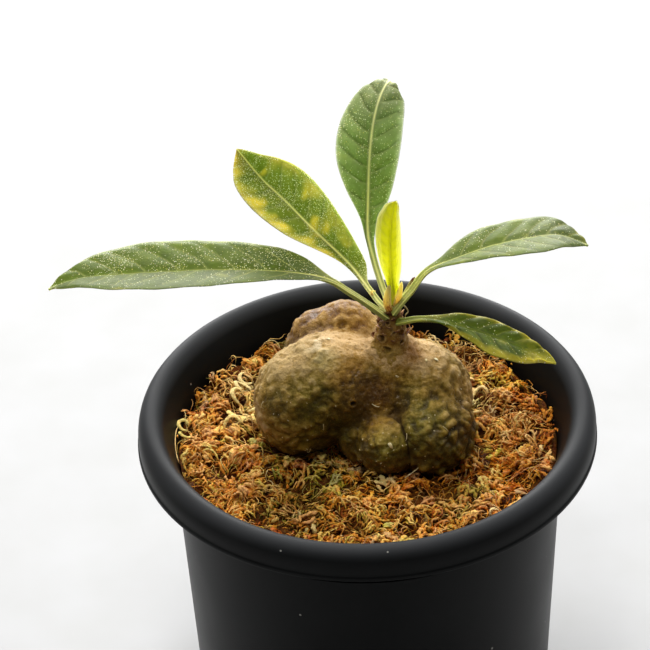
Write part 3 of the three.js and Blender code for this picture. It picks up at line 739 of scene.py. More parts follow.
# Painted light on the lit top of the left lobe and on the top of the knob.
dry = np.clip(dry + 0.5 * near(base, [-24, 6, 146], 13) + 0.2 * near(base, [6, -18, 127], 10), 0, 1)
for paler_by, centre, radius in LIGHT_AND_SHADE_SPOTS:
    dry = np.clip(dry + paler_by * near(base, centre, radius), 0, 1)
olive = warty * (1 - 0.6 * dry) * (0.8 + 0.4 * waves(base, 10, 18) + 0.25 * waves(base, 3, 23))
olive = np.maximum(np.clip(olive, 0, 1), 0.7 * near(base, [-14, -1, 145], 9))
olive = np.maximum(olive, 1.1 * near(base, [6, -19, 122], 13)).clip(0, 1)
olive = olive * (1 - back_lobe) * (1 - 0.85 * lit_flank)
# soil: soil, and painted shade in hollows, along the groove, between warts and lumps, in pits and towards the
# moss at the foot; less of it on the lit flanks
soiled_foot = 1 - step(z, 110, 117 + 4 * waves(base, 8, 13))
soil = 0.38 * cavity + 0.36 * groove + 0.3 * soiled_foot + 0.1 * back_lobe
soil = soil + 0.3 * warty * (0.5 - wart) + 0.35 * warty * (0.4 - lump) * low_right
soil = np.clip(soil * (1 - 0.5 * lit_flank) + 0.4 * np.clip(-raised, 0, 1) * mix(0.35, 1, low_right), 0, 1)
print("mean dryness", round(float(dry.mean()), 2), "and soil", round(float(soil.mean()), 2))

# %% Waxy caudex skin
def caudex_finish():
    """The waxy skin: cinnamon or olive, paler as it dries and where light is painted, darker with soiling and
    painted shade, mottled in patches of 2.4 mm with finer ones inside them, with pale pores, a pale patch that
    is also a painted highlight, and painted shade in the ant hole."""
    material, tree, shader = new_finish("waxy_caudex_skin", IOR=1.45, Specular_IOR_Level=0.18,
                                        Coat_Roughness=0.11)
    place = add(tree, "ShaderNodeTexCoord").outputs["Object"]
    part = mesh_values(tree, SKIN_KEYS)
    paleness = stirred(tree, part["dry"], noise(tree, place, 420.0, 6.0, 0.8), 1.7)
    cinnamon = ramp(tree, paleness, (0.0, "5c3b0c"), (0.25, "7d5214"), (0.5, "9c7228"), (0.75, "b88e48"),
                    (1.0, "cca872"))
    olive = ramp(tree, paleness, (0.0, "52460c"), (0.3, "7c6e1c"), (0.6, "9e8a3a"), (1.0, "c2ae6a"))
    pores = add(tree, "ShaderNodeTexVoronoi", {"Vector": place, "Scale": 1100.0}).outputs["Distance"]
    # The patch colour is also a painted highlight, and the hole colour paints the shade inside the ant hole.
    tone = layered(tree, cinnamon, [
        (1.0, part["olive"], olive), (0.6, part["rust"], "7a3d12"),
        (1.0, ranged(tree, pores, 0.3, 0.12, 0.0, 0.3), "c09a58"), (0.85, part["soil"], "2a1706"),
        (0.2, part["patch"], "e6dcb0"), (1.0, part["hole"], "160c04"),
    ])
    dull = calc(tree, "MULTIPLY_ADD", part["soil"], 0.3, ranged(tree, paleness, 0.0, 1.0, 0.3, 0.65))
    wax = ranged(tree, part["dry"], 0.0, 0.6, 0.55, 0.02)
    wax = calc(tree, "MULTIPLY", wax, calc(tree, "SUBTRACT", 1.0, part["soil"]))
    wax = calc(tree, "MULTIPLY_ADD", part["patch"], 0.5, wax)
    fine = noise(tree, place, 1100.0, 5.0, 0.7)
    pitted = bump(tree, 0.4, 0.0002, pores, bump(tree, 1.0, 0.0009, fine))
    drive(tree, shader, Base_Color=tone, Roughness=dull, Normal=pitted, Coat_Weight=wax,
          Coat_Normal=bump(tree, 0.6, 0.0005, fine))
    return material


bark = caudex_finish()
# The hole value paints shade inside the ant hole.
caudex_look = skin_look(dry.shape, dry=dry, olive=olive, soil=soil, patch=patch,
                        rust=near(base, RUST_SPOT, 7.5), hole=0.7 * near(base, ANT_HOLE, 1.1))
ring_piece("caudex_skin", caudex_rings, bark, "caudex_bark", ["caudex"], caudex_look)

# %% [markdown]
# ## Stem and roots
#
# The stem is a thumb-thick stub in the same skin, ringed with the scars of fallen leaves and nearly black
# where the youngest ones sit. It is a stack of rings whose foot flares into the neck. The roots are six plain
# tapering tubes that leave the underside; moss hides them.

# %% Tubes along paths
def tube(path, radius, sides, flat=1.0):
    """Rings of points round one or many paths, an array of ... x stations x 3. Every ring is an ellipse across
    the path, as wide as the radius and flat times as high."""
    way = unit(np.gradient(path, axis=-2))
    across = unit(np.cross(way, [0.0, 0.0, 1.0]) + 1e-6)
    above = np.cross(across, way)
    turn = round_angles(sides)
    ring = across[..., None, :] * np.cos(turn)[:, None] + flat * above[..., None, :] * np.sin(turn)[:, None]
    return path[..., None, :] + ring * np.asarray(radius)[..., None, None]


print("a tube over 5 stations is", tube(np.eye(5, 3), np.ones(5), 8).shape)

# %% The stem
STEM = np.array([  # place, radius
    [8.2, 4.8, 136, 8.8], [8.5, 5, 141.5, 8.2], [8.6, 5, 144.5, 7.1], [8.6, 5, 147, 6.0],
    [8.7, 5, 149.5, 5.2], [8.8, 5.1, 152.5, 4.5], [9.0, 5.3, 155.5, 3.7], [9.3, 5.7, 158.2, 2.9],
    [9.5, 5.9, 160.6, 1.9], [9.5, 5.9, 161.6, 0.8],
])
SCARS, LEAF_TURN = 18, 2.4

stem_line, _ = smooth_path(STEM, np.linspace(0, 1, 84))
angle = round_angles(120)
circle = np.stack([np.cos(angle), np.sin(angle), 0 * angle], -1)
stem_rings = stem_line[:, None, :3] + stem_line[:, None, 3:] * circle
outwards = np.broadcast_to(circle, stem_rings.shape)
height = stem_rings[..., 2]
scar, scar_pit = np.zeros(height.shape), np.zeros(height.shape)
ragged = 1.1 * waves(stem_rings, 1.3, 30)
for k in range(SCARS):
    swing = np.angle(np.exp(1j * (angle - k * LEAF_TURN - 3.6)))[None, :] * 4.3
    climb = (height - 146.4 - k * 0.66) * 1.5
    away = np.hypot(swing, climb) / (0.8 + 0.35 * math.sin(k * 2.7)) + ragged
    scar = np.maximum(scar, np.exp(-(((away - 1.5) / 0.4) ** 2)))
    scar_pit = np.maximum(scar_pit, np.exp(-((away / 0.95) ** 4)))
rough = 0.45 * waves(stem_rings, 2.2, 14) + 0.3 * waves(stem_rings, 0.9, 15)
stem_relief = (0.35 * scar - 0.35 * scar_pit) * step(height, 145, 147.5) + rough
stem_rings = stem_rings + outwards * (stem_relief * step(height, 141, 146))[..., None]
crown = step(height, 151.5, 156) * step(waves(stem_rings, 2.6, 16), -0.8, 0.3)
stem_up = step(height, 147.5, 151)
# stem_dry takes the painted light of skin_values along with the stem's dryness
stem_dry = mix(skin_values(stem_rings, outwards), 0.5 + 0.3 * waves(stem_rings, 2.4, 17), stem_up)
stem_rust = 0.45 * stem_up * step(waves(stem_rings, 1.8, 26), -0.2, 0.6)
stem_look = skin_look(
    height.shape, dry=stem_dry + 0.4 * scar * stem_up, olive=0.3 * (1 - stem_up),
    soil=np.clip(0.5 * crown * (1 - scar) + scar_pit * step(height, 147, 149), 0, 1),
    rust=np.maximum(near(stem_rings, RUST_SPOT, 7.5), stem_rust))
ring_piece("stem", stem_rings, bark, "caudex_bark", ["caudex"], stem_look)

# %% Roots
ROOTS = 6
share = np.linspace(0, 1, 24)
for i in range(ROOTS):
    reach, depth = 30 + 6 * math.sin(i * 2.3), 66 + 8 * math.cos(i * 1.7)
    out, level = np.array([[8, 113], [13, 101], [20, 90], [reach - 3, 78], [reach, depth]]).T
    turn = i / ROOTS * 2 * np.pi + 0.4 + 0.12 * np.arange(5) * math.sin(i * 1.3)
    route = np.stack([HEART[0] + out * np.cos(turn), HEART[1] + out * np.sin(turn), level], -1)
    rings = tube(smooth_path(route, share)[0], mix(1.6, 0.6, share), 10)
    rings = rings + 0.15 * waves(rings, 2, i)[..., None]
    root_look = skin_look(rings.shape[:2], dry=0.2, soil=0.2)
    ring_piece(f"root_{i + 1}", rings, bark, "caudex_bark", ["caudex"], root_look)

# %% [markdown]
# ## The leaves
#
# The leaves are leathery, with a pale midrib, sunken side veins and a blade that is quilted between them. A
# leaf is a ring of points, over the upper face and back along the lower one, carried along the curve of the
# midrib. The half widths come from stations along it. The side veins leave the midrib at even distances and
# curve towards the tip, so a point lies on a vein where its distance along the midrib, less a part that grows
# with its distance from it, is a whole number of spacings.

# %% Blade outlines
STATIONS = np.array([0.1, 0.2, 0.35, 0.5, 0.65, 0.8, 0.9])


def half_width(widths, t, stalk, blunt):
    """A blade's half width at shares t of its length, on a cubic through its widths at the stations. It
    starts at the stalk's half width, and blunt is how steeply it falls to its tip."""
    stops = np.concatenate([[0], STATIONS, [1]])
    value = np.concatenate([[stalk], widths, [0]])
    slope = np.empty(len(stops))
    slope[1:-1] = (value[2:] - value[:-2]) / (stops[2:] - stops[:-2])
    slope[0] = 0
    slope[-1] = blunt * (value[-1] - value[-2]) / (stops[-1] - stops[-2])
    t = np.clip(t, 0, 1)
    k = np.clip(np.searchsorted(stops, t) - 1, 0, len(stops) - 2)
    gap = stops[k + 1] - stops[k]
    u = (t - stops[k]) / gap
    return cubic(value[k], value[k + 1], slope[k] * gap, slope[k + 1] * gap, u)


middle = half_width([3.4, 7.4, 11.7, 13.5, 13.2, 10.6, 7.2], np.array([0.5]), stalk=1.25, blunt=1.6)
print("half width at the middle:", float(middle[0]), "mm")

# %% One leaf from its route and widths
def leaf_shape(leaf, rows, across):
    """Points, UV in tenths of a metre and surface values of one leaf. Each row is a ring: over the upper face
    from margin to margin and back under the blade. The blade is folded along the midrib, waved at its
    margins, quilted between its side veins, and carries a round rib below."""
    s = np.linspace(0, 1, rows) ** 0.97
    at, along = smooth_path(leaf["route"], s)
    length = np.linalg.norm(np.diff(at, axis=0), axis=1).sum()
    hint = mix(np.array(leaf["faces"][0], float), np.array(leaf["faces"][1], float), s[:, None])
    right = unit(np.cross(along, hint))
    up = np.cross(right, along)
    t = (s - leaf["start"]) / (1 - leaf["start"])
    blade = step(t, 0, 0.25)[:, None]
    bend = np.radians(mix(*leaf["fold"], np.clip(t, 0, 1)))[:, None] * blade

    u = np.linspace(-1, 1, across)
    u = np.sign(u) * np.abs(u) ** 1.25
    u = np.concatenate([u, u[-2:0:-1]])
    top = np.concatenate([np.ones(across), -np.ones(across - 2)])
    stalk = leaf["stalk"] * (1 + 0.35 * (1 - step(s, 0, 0.07)))
    left, other = (np.where(t > 0, half_width(leaf[key], t, leaf["stalk"], leaf["blunt"]), stalk)[:, None]
                   for key in ("left", "right"))
    half = np.maximum(np.where(u < 0, left, other), 0.12)
    reach = np.abs(u) * half
    mid = s[:, None] * length + 0 * reach
    flat_place = np.stack([mid, np.sign(u) * reach, 0 * reach], -1)

    forward_part = reach * leaf["rake"] + 0.35 * reach**2 / np.maximum(half, 2)
    wander = np.where(u < 0, 0, 0.33) + 0.14 * waves(flat_place, 9, leaf["seed"])
    phase = (mid - forward_part) / leaf["spacing"] + wander
    off_vein = np.abs(phase - np.round(phase)) * 2
    inner = blade * step(reach, 0.4, 2.6) * (1 - step(np.abs(u), 0.8, 1))
    quilt = np.where(u < 0, *leaf["quilt"])
    pillow = np.clip(off_vein, 0, 1) ** 0.3 * inner * quilt
    side_vein = np.exp(-((off_vein * leaf["spacing"] / 2 / 0.3) ** 2)) * blade * step(reach, 0.2, 1.0)
    side_vein = side_vein * (1 - step(np.abs(u), 0.6, 0.95))
    # painted_shade: painted shade on the tip side of each sunken side vein
    tipward = (phase - np.round(phase)) * leaf["spacing"]
    painted_shade = np.exp(-((tipward / np.where(tipward > 0, 1.0, 0.3)) ** 2)) * inner

    wave_height, count, shift = leaf["waves"]
    wave = wave_height * u**2 * np.sin(2 * np.pi * count * t[:, None] + shift + np.where(u > 0, 1.3, 0))
    uneven = wave + pillow - 0.5 * quilt + 0.08 * waves(flat_place, 2.6, 3)
    lift = reach * np.sin(bend) + blade * uneven
    lift = lift - leaf["roll"] * blade * step(np.abs(u), 0.7, 1.0)
    thickness = mix(0.46, 0.3, np.abs(u)) * np.sqrt(np.clip(1 - np.abs(u) ** 8, 0, 1))
    rib_width = mix(1.3, 0.55, s[:, None] ** 0.8)
    rib = mix(leaf["rib"], 0.3, s[:, None] ** 0.6) * np.sqrt(np.clip(1 - (reach / rib_width) ** 2, 0, 1))
    groove = 0.2 * np.exp(-((reach / 0.5) ** 2)) * mix(1, 0.4, s[:, None])
    lift = lift + np.where(top > 0, thickness / 2 - groove, -thickness / 2 - rib)
    points = at[:, None] + right[:, None] * (np.sign(u) * reach * np.cos(bend))[..., None]
    points = points + up[:, None] * lift[..., None]

    petiole = 1 - step(t[:, None] + 0 * reach, -0.03, 0.1)
    line_width, line_strength = leaf["line"]
    stalk_tone = 0.3 + 0.45 * step(np.abs(u), 0.6, 0.9)
    midrib = line_strength * np.exp(-((reach / (line_width * mix(1, 0.45, s[:, None]))) ** 2))
    values = {
        "vein": side_vein, "painted_shade": painted_shade, "rib": np.clip(np.maximum(midrib, petiole * stalk_tone), 0, 1),
        "margin": np.abs(u) * blade, "between": step(off_vein, 0.05, 0.95) * blade, "share": mid / length,
        "side": np.sign(u) + 0 * reach, "underside": (top < 0) + 0 * reach,
        "freckles": np.where(u < 0, *leaf["freckles"]) + 0 * reach,
    }
    return points, np.stack([mid, np.sign(u) * reach + 30], -1) / 100, values


print("a leaf is a function of its route, widths, fold, waves and veins:", leaf_shape.__name__)

# %% [markdown]
# The leaf tables repeat the imported solid's routes and widths, so the finer blades lie where the solids are.
# The other entries belong to the fine blade: spacing in millimetres between the side veins, rake towards the
# tip, the quilting's depth on the left and the right half, roll of the margins, height of the rib below,
# width and strength of the pale line along the midrib, half width of the stalk, share of freckles on each
# half, bloom_and_sheen, which is how grey the outer blade is, partly wax and partly painted sheen, and blunt,
# which is how steeply the outline falls to the tip.

# %% Leaf tables
PLAIN_LEAF = dict(roll=0.1, blunt=1.6, bloom_and_sheen=0)
LEAVES = {
    "leaf_left": dict(
        route=[[7.9, 3.4, 159.2], [5.4, 3, 161.6], [0.8, 2.2, 166.3], [-4.2, 1.5, 171], [-10.5, 1, 176.2],
               [-24.6, 0, 180.6], [-45.2, -1, 183.1], [-59, -2, 183.9], [-76.2, -2, 183.6],
               [-90, -3, 183.2], [-99.4, -5, 181.2]],
        faces=[[0, 0, 1], [0, 0.02, 1]], fold=[17, 8], start=0.2, waves=[0.14, 6, 0.3],
        left=[3.4, 7.4, 11.7, 13.5, 13.2, 10.3, 6.3], right=[8.2, 10.6, 12.4, 13.5, 13.9, 11.2, 6.6],
        spacing=9.6, rake=0.85, quilt=[0.25, 0.95], rib=1.9, line=[0.42, 0.75], stalk=1.6, blunt=1.2,
        freckles=[0.35, 1], seed=1),
    "leaf_back_left": dict(
        route=[[8.9, 5.4, 159], [5.6, 7, 161.6], [2.4, 11, 164.2], [-3.2, 18, 169], [-14.9, 23, 180.4],
               [-23.8, 27, 189.5], [-30.6, 29, 196.5], [-38.3, 30, 207.9]],
        faces=[[0.1, -0.8, 0.6], [0.2, -0.8, 0.5]], fold=[12, 12], start=0.16, waves=[0.25, 4, 1.1],
        left=[1.2, 2, 4.8, 8.2, 9.7, 9.3, 7.2], right=[4.2, 6.2, 9, 10.7, 11.1, 8.8, 4.6],
        spacing=6.2, rake=0.5, quilt=[0.4, 0.4], rib=1.2, line=[0.45, 1.0], stalk=1.0,
        freckles=[1.1, 0.8], seed=2),
    "leaf_back": dict(
        route=[[9.3, 6.6, 160], [7.2, 9.4, 163.8], [5.2, 12.6, 169.6], [3.8, 14.8, 175], [2.5, 17, 181.7],
               [2.9, 20, 193.8], [4, 23.4, 209.8], [5.6, 26.8, 219.6], [7.6, 30, 225.4], [9.6, 33.2, 228],
               [11.2, 36.4, 227.8], [12.4, 39, 225.4]],
        faces=[[0, -0.9, 0.35], [0, -0.35, 1]], fold=[7, -26], start=0.2, waves=[0.12, 5, 2.2],
        left=[1, 2.2, 7.2, 10.9, 11.3, 8.9, 6.2], right=[1.8, 4.2, 7.6, 9.4, 9.9, 8.8, 6.4],
        spacing=6.0, rake=0.3, quilt=[1.2, 1.2], rib=1.1, line=[0.6, 1.0], stalk=1.1, bloom_and_sheen=0.6,
        freckles=[0.7, 0.7], seed=3),
    "leaf_right": dict(
        route=[[9, 2.9, 160.6], [11.6, 3.8, 163.6], [15.2, 5.8, 166.8], [20.7, 9.6, 171.8], [31.4, 14, 173.8],
               [43.4, 18, 175.2], [55.2, 21, 175.4], [63.5, 23, 174.6], [73.9, 24, 169.5]],
        faces=[[0, 0.05, 1], [0, 0.12, 1]], fold=[10, 2], start=0.22, waves=[0.12, 5, 0.9],
        left=[2.4, 5.4, 9.7, 11.1, 11.7, 12, 10.2], right=[2.4, 4.8, 8, 10.8, 11.8, 9.7, 5.4],
        spacing=7.4, rake=0.8, quilt=[0.75, 0.25], rib=1.8, line=[0.4, 0.6], stalk=1.4, bloom_and_sheen=0.3,
        freckles=[0.35, 0.2], seed=4),
    "leaf_low_right": dict(
        route=[[10.5, 2.3, 157.6], [12.9, 1.8, 158.2], [16.4, 1.8, 158.8], [21.3, 1, 159.2], [27, -1, 159.4],
               [37.7, -4, 157.1], [48.2, -8, 154.6], [55.8, -11, 152.2], [60.8, -14, 151.1]],
        faces=[[0, -0.1, 1], [0.1, -0.1, 1]], fold=[5, 5], start=0.16, waves=[0.2, 4, 2.6],
        left=[2.4, 4.2, 6.3, 6.7, 6.0, 4.5, 2.5], right=[1.5, 2.8, 5.9, 8.6, 9.3, 6.9, 3.8],
        spacing=6.6, rake=0.8, quilt=[1.1, 1.1], rib=1.5, line=[0.35, 0.1], stalk=1.2,
        freckles=[0.3, 0.3], seed=5),
    "leaf_young": dict(
        route=[[9.5, 5.6, 161.0], [9.4, 5, 165.8], [9.2, 4.5, 176.4], [9.3, 4.5, 188], [10.3, 5.5, 197.2],
               [11.5, 7, 201.2]],
        faces=[[-0.15, -1, 0.1], [-0.3, -1, 0.2]], fold=[38, 38], start=0.1, waves=[0.1, 3, 0.5],
        left=[1.2, 2.2, 3.6, 4.7, 5.5, 5.6, 4.7], right=[2.3, 3.4, 4.7, 5.2, 5.1, 4.2, 2.8],
        spacing=3.4, rake=0.9, quilt=[0.22, 0.22], roll=0.9, rib=0.9, line=[0.35, 0.35], stalk=1.1,
        blunt=3.0, freckles=[0, 0], seed=6),
}
LEAVES = {name: PLAIN_LEAF | leaf for name, leaf in LEAVES.items()}
print("leaves:", list(LEAVES))

# %% [markdown]
# ## The finish of the leaves
#
# A leathery leaf is waxy green above, paler and duller below, with a pale midrib and faintly paler side
# veins. The real ones are freckled with scale-like dots of about half a millimetre, and the ageing leaf turns
# yellow from its margins inwards and between its veins. One function makes the finish for each kind of leaf,
# from the values on the mesh and from UV in real size. Light passes through a leaf, which a little subsurface
# scattering gives.

# %% Leathery leaf finishes
LEAF_KEYS = ("vein", "painted_shade", "rib", "yellow", "rust", "bloom_and_sheen", "freckles", "underside")


def leaf_finish(name, painted_shade, dark, green, pale, under, yellow, freckle, scatter=0.5, depth=0.002,
                radius=(0.8, 1.0, 0.6), gleam=0.12):
    """Green by noise between dark and green. Over it lie grey bloom_and_sheen, which is partly wax and partly
    painted sheen, the painted shade colour along the sunken side veins and over areas that the mesh paints
    darker, the pale colour on side veins and ribs, yellow and rust where the mesh says so, freckles of two
    sizes, and the under colour on the lower face. One UV unit is 100 mm."""
    material, tree, shader = new_finish(name, IOR=1.45, Specular_IOR_Level=gleam, Subsurface_Weight=scatter,
                                        Subsurface_Scale=depth, Subsurface_Radius=radius)
    uv = add(tree, "ShaderNodeUVMap", uv_map="UVMap").outputs[0]
    part = mesh_values(tree, LEAF_KEYS)
    cloud, crowd = noise(tree, uv, 16.0, 5.0, 0.65), noise(tree, uv, 9.0, 3.0)
    yellowed = ranged(tree, calc(tree, "MULTIPLY_ADD", cloud, 0.6, part["yellow"]), 0.45, 1.2)
    layers = [(0.8, part["bloom_and_sheen"], "84866c"), (0.8, part["painted_shade"], painted_shade), (0.2, part["vein"], pale),
              (0.9, yellowed, yellow), (0.8, part["rust"], "a0641c")]
    for scale, smallest, largest, most in ((190.0, 0.13, 0.33, 1.5), (60.0, 0.06, 0.13, 0.4)):
        cells = add(tree, "ShaderNodeTexVoronoi", {"Vector": uv, "Scale": scale}, voronoi_dimensions="2D")
        own = add(tree, "ShaderNodeSeparateColor", {"Color": cells.outputs["Color"]})
        chance = ranged(tree, crowd, 0.32, 0.66, 0.02, most * freckle)
        chance = calc(tree, "MULTIPLY", chance, part["freckles"])
        spot_radius = ranged(tree, own.outputs["Green"], 0.0, 1.0, smallest, largest)
        spot = calc(tree, "LESS_THAN", cells.outputs["Distance"], spot_radius)
        spot = calc(tree, "MULTIPLY", spot, calc(tree, "LESS_THAN", own.outputs["Red"], chance))
        spot_tone = ramp(tree, own.outputs["Blue"], (0.0, "b8ac4c"), (0.45, "d4d09c"), (1.0, "efecd0"))
        layers.append((0.7, spot, spot_tone))
    layers += [(0.85, part["underside"], under), (0.95, part["rib"], pale)]
    tone = layered(tree, ramp(tree, cloud, (0.32, dark), (0.68, green)), layers)
    net = add(tree, "ShaderNodeTexVoronoi", {"Vector": uv, "Scale": 75.0}, voronoi_dimensions="2D",
              feature="DISTANCE_TO_EDGE").outputs["Distance"]
    netted = bump(tree, 0.35, 0.00012, ranged(tree, net, 0.0, 0.14))
    wax = noise(tree, uv, 240.0)
    drive(tree, shader, Base_Color=tone, Roughness=ranged(tree, wax, 0.0, 1.0, 0.4, 0.58),
          Normal=bump(tree, 0.3, 0.0001, wax, netted))
    return material


# The colours are painted shade, dark, green, pale, under and yellow. The number is the share of freckles.
green_leaf = leaf_finish("waxy_green_leaf", "2c380c", "48561a", "636f24", "d8d478", "8f9a50", "b5aa34", 0.5)
# A lighter copy of the green leaf: painted light for the back-lit leaf.
back_leaf = leaf_finish("back_lit_leaf", "343f14", "5e6c2e", "7c8e4a", "f0eeb0", "8f9a50", "b5aa34", 0.5,
                        scatter=0.45)
# A darker copy of the green leaf: painted shade for the low leaf.
low_leaf = leaf_finish("shaded_green_leaf", "1c2604", "344008", "485410", "b4b450", "8f9a50", "c0ae36", 0.4,
                       scatter=0.3, gleam=0.08)
ageing_leaf = leaf_finish("ageing_leaf", "404a0c", "5c6618", "78802e", "f0eca0", "a5a352", "f0cc3e", 1.0)
tender_leaf = leaf_finish("tender_young_leaf", "626e06", "b0b412", "c8c822", "dcd870", "cfce4a", "dede74", 0.03,
                          scatter=1.0, depth=0.0035, radius=(0.9, 0.9, 0.3))
print("leaf finishes:", [leaf.name for leaf in (green_leaf, back_leaf, low_leaf, ageing_leaf, tender_leaf)])

# %% [markdown]
# Each leaf ages in its own way. The one at the back left turns yellow in fingers from its margins between the
# veins, and rusty at its tip. The painted shade of the side veins is used a second time over whole areas that
# are painted darker: the foot of the young leaf and of the left one, the left one's near half, the right one's
# tip, and the margins that would catch the light from behind. The left one's near half also takes a grey
# painted sheen.

# %% How each leaf ages
def yellowing(name, values, patches):
    """How yellow each point of a leaf is, from how close it is to the margin, its place between veins and
    chance."""
    margin, between, share = values["margin"], values["between"], values["share"]
    if name == "leaf_back_left":
        soft = mix(between, 1, 0.3)
        fingers = soft * step(margin + 0.25 * patches, 0.15, 0.9)
        left_side = 0.4 * step(margin, 0.5, 1) + 0.8 * fingers * step(patches, -0.7, 0.3)
        right_side = 0.3 * step(margin + 0.3 * patches, 0.2, 0.9) + 0.3 * patches * step(margin, 0.2, 0.6)
        spots = 0.75 * soft * step(patches, 0.05, 0.5) * step(share, 0.3, 0.5)
        sides = np.where(values["side"] < 0, left_side, right_side)
        return np.maximum(sides, spots) * step(share, 0.15, 0.35) + 0.25 * step(share, 0.86, 1)
    if name == "leaf_low_right":
        ends = 0.5 * step(share, 0.62, 1) + 0.2 * step(0.4 - share, 0, 0.2)
        return 0.6 * step(margin, 0.5, 1) + 0.3 * patches + ends
    if name == "leaf_young":
        return 0.75 * step(margin, 0.5, 0.72)
    if name == "leaf_back":
        return 0.2 * patches + 0.4 * step(share, 0.85, 1) * between
    return 0.2 * step(margin, 0.85, 1) + 0.25 * patches + 0.25 * step(share, 0.9, 1)


def darkened(name, values):
    """How much painted shade each point takes: that of the side veins, or more over an area painted darker."""
    painted_shade, share = values["painted_shade"], values["share"]
    if name == "leaf_young":
        middle = 0.4 * (1 - step(values["margin"], 0, 0.2)) * step(share, 0.1, 0.3)
        return np.maximum(0.5 * painted_shade + middle, 1 - step(share, 0.1, 0.55))
    if name == "leaf_left":
        foot = 0.9 * (1 - step(share, 0.25, 0.65))
        return np.maximum(np.maximum(painted_shade, foot), np.where(values["side"] < 0, 0.5, 0.15))
    if name == "leaf_right":
        return np.maximum(painted_shade, 0.6 * step(share, 0.7, 0.9))
    return painted_shade


print("ageing:", yellowing.__name__, "and", darkened.__name__)

# %% Leaves as pieces
LEAF_FINISH = {"leaf_back_left": (ageing_leaf, "yellowing_leaf"), "leaf_young": (tender_leaf, "young_leaf"),
               "leaf_low_right": (low_leaf, "green_leaf"), "leaf_back": (back_leaf, "green_leaf")}
MARGIN_SHADE_LEAVES = ("leaf_left", "leaf_back_left", "leaf_right")
CLEAR_VEINS = ("leaf_left", "leaf_right")

for name, leaf in LEAVES.items():
    rows, across = (140, 33) if name == "leaf_young" else (240, 41)
    points, uv, values = leaf_shape(leaf, rows, across)
    share, margin, near_half = values["share"], values["margin"], values["side"] < 0
    patches = flat_waves(uv[..., 0] * 100, uv[..., 1] * 100, 5, 40 + leaf["seed"])
    # margin_shade: painted shade on the far margins that catch the light from behind; it also keeps them from
    # yellowing
    margin_shade = ~near_half * np.abs(values["side"]) * (name in MARGIN_SHADE_LEAVES) * step(margin, 0.9, 0.97)
    rusty = 1.1 * step(share, 0.87, 1) + 0.8 * step(share, 0.6, 0.9) * step(margin, 0.6, 1)
    # near_half_sheen: a grey painted sheen on the near half of the left leaf
    near_half_sheen = 0.25 * near_half * (name == "leaf_left")
    values["painted_shade"] = np.maximum(darkened(name, values), margin_shade)
    values["yellow"] = np.clip(yellowing(name, values, patches), 0, 1.6) * (1 - 0.8 * margin_shade)
    values["rust"] = rusty * (0.5 + 0.6 * patches) * (name == "leaf_back_left")
    # bloom_and_sheen: a grey wax bloom on the outer blade, with painted sheen
    values["bloom_and_sheen"] = np.clip(leaf["bloom_and_sheen"] * step(share, 0.5, 0.95) + near_half_sheen + 0.1 * patches, 0, 1)
    values["vein"] = values["vein"] * (1.3 if name in CLEAR_VEINS else 1)
    material, slot = LEAF_FINISH.get(name, (green_leaf, "green_leaf"))
    ring_piece(name + "_blade", points, material, slot, [name], {key: values[key] for key in LEAF_KEYS}, uv)

# %% [markdown]
# ## The shoot tip
#
# Two papery bud scales clasp the foot of the young leaf, amber where light comes through them. Beside the
# right leaf stands the thin stub of a fallen leaf, pale green with a dark red end. Dark dry bracts ring the
# crown. They are all tongues: an ellipse carried along a short curve, cupped and narrowing to its point.

# %% Tongues of the shoot tip
def tongue(route, half_width_mm, thickness, face, taper=2.2, rows=28, columns=20, cup=0.5):
    """Rings of a pointed tongue along the route, with its face towards face and its sides cupped that way."""
    s = np.linspace(0, 1, rows)
    at, along = smooth_path(route, s)
    across = unit(np.cross(along, np.array(face, float)))
    out = np.cross(across, along)
    wide = half_width_mm * np.sqrt(np.clip(1 - s**taper, 0.0015, 1)) * step(s + 0.6, 0, 1)
    thick = thickness / 2 * mix(1, 0.5, s)
    turn = round_angles(columns)
    sideways = wide[:, None] * np.cos(turn)
    raised = thick[:, None] * np.sin(turn) * np.minimum(1, 3 * wide / half_width_mm)[:, None]
    raised = raised + cup * sideways**2 / max(half_width_mm, 0.1) * 0.5
    ridges = 0.05 * np.sin(sideways * 9)
    points = at[:, None] + across[:, None] * sideways[..., None] + out[:, None] * (raised + ridges)[..., None]
    return points, np.broadcast_to(s[:, None], sideways.shape)


def tongue_finish(name, low, middle, end, scatter, roughness=0.5):
    """A dry or tender tongue: three colours from its foot to its point, streaked along its length."""
    material, tree, shader = new_finish(name, Roughness=roughness, IOR=1.45, Subsurface_Weight=scatter,
                                        Subsurface_Scale=0.002, Subsurface_Radius=(1.0, 0.8, 0.4))
    along = mesh_values(tree, ["along"])["along"]
    place = add(tree, "ShaderNodeTexCoord").outputs["Object"]
    stretch = add(tree, "ShaderNodeMapping", {"Vector": place, "Scale": (1.0, 1.0, 0.25)})
    streak = noise(tree, stretch.outputs[0], 2200.0, 3.0)
    tone = ramp(tree, stirred(tree, along, streak, 1.6), (0.0, low), (0.5, middle), (1.0, end))
    drive(tree, shader, Base_Color=tone, Normal=bump(tree, 0.3, 0.0001, streak))
    return material


papery_scale = tongue_finish("papery_bud_scale", "8a4a18", "e8c074", "e0be68", 0.7)
stub_skin = tongue_finish("tender_stub", "bcc070", "c2c678", "5c1418", 0.1)
dry_bract = tongue_finish("dry_bract", "30100a", "6a3018", "caa068", 0.0, 0.55)

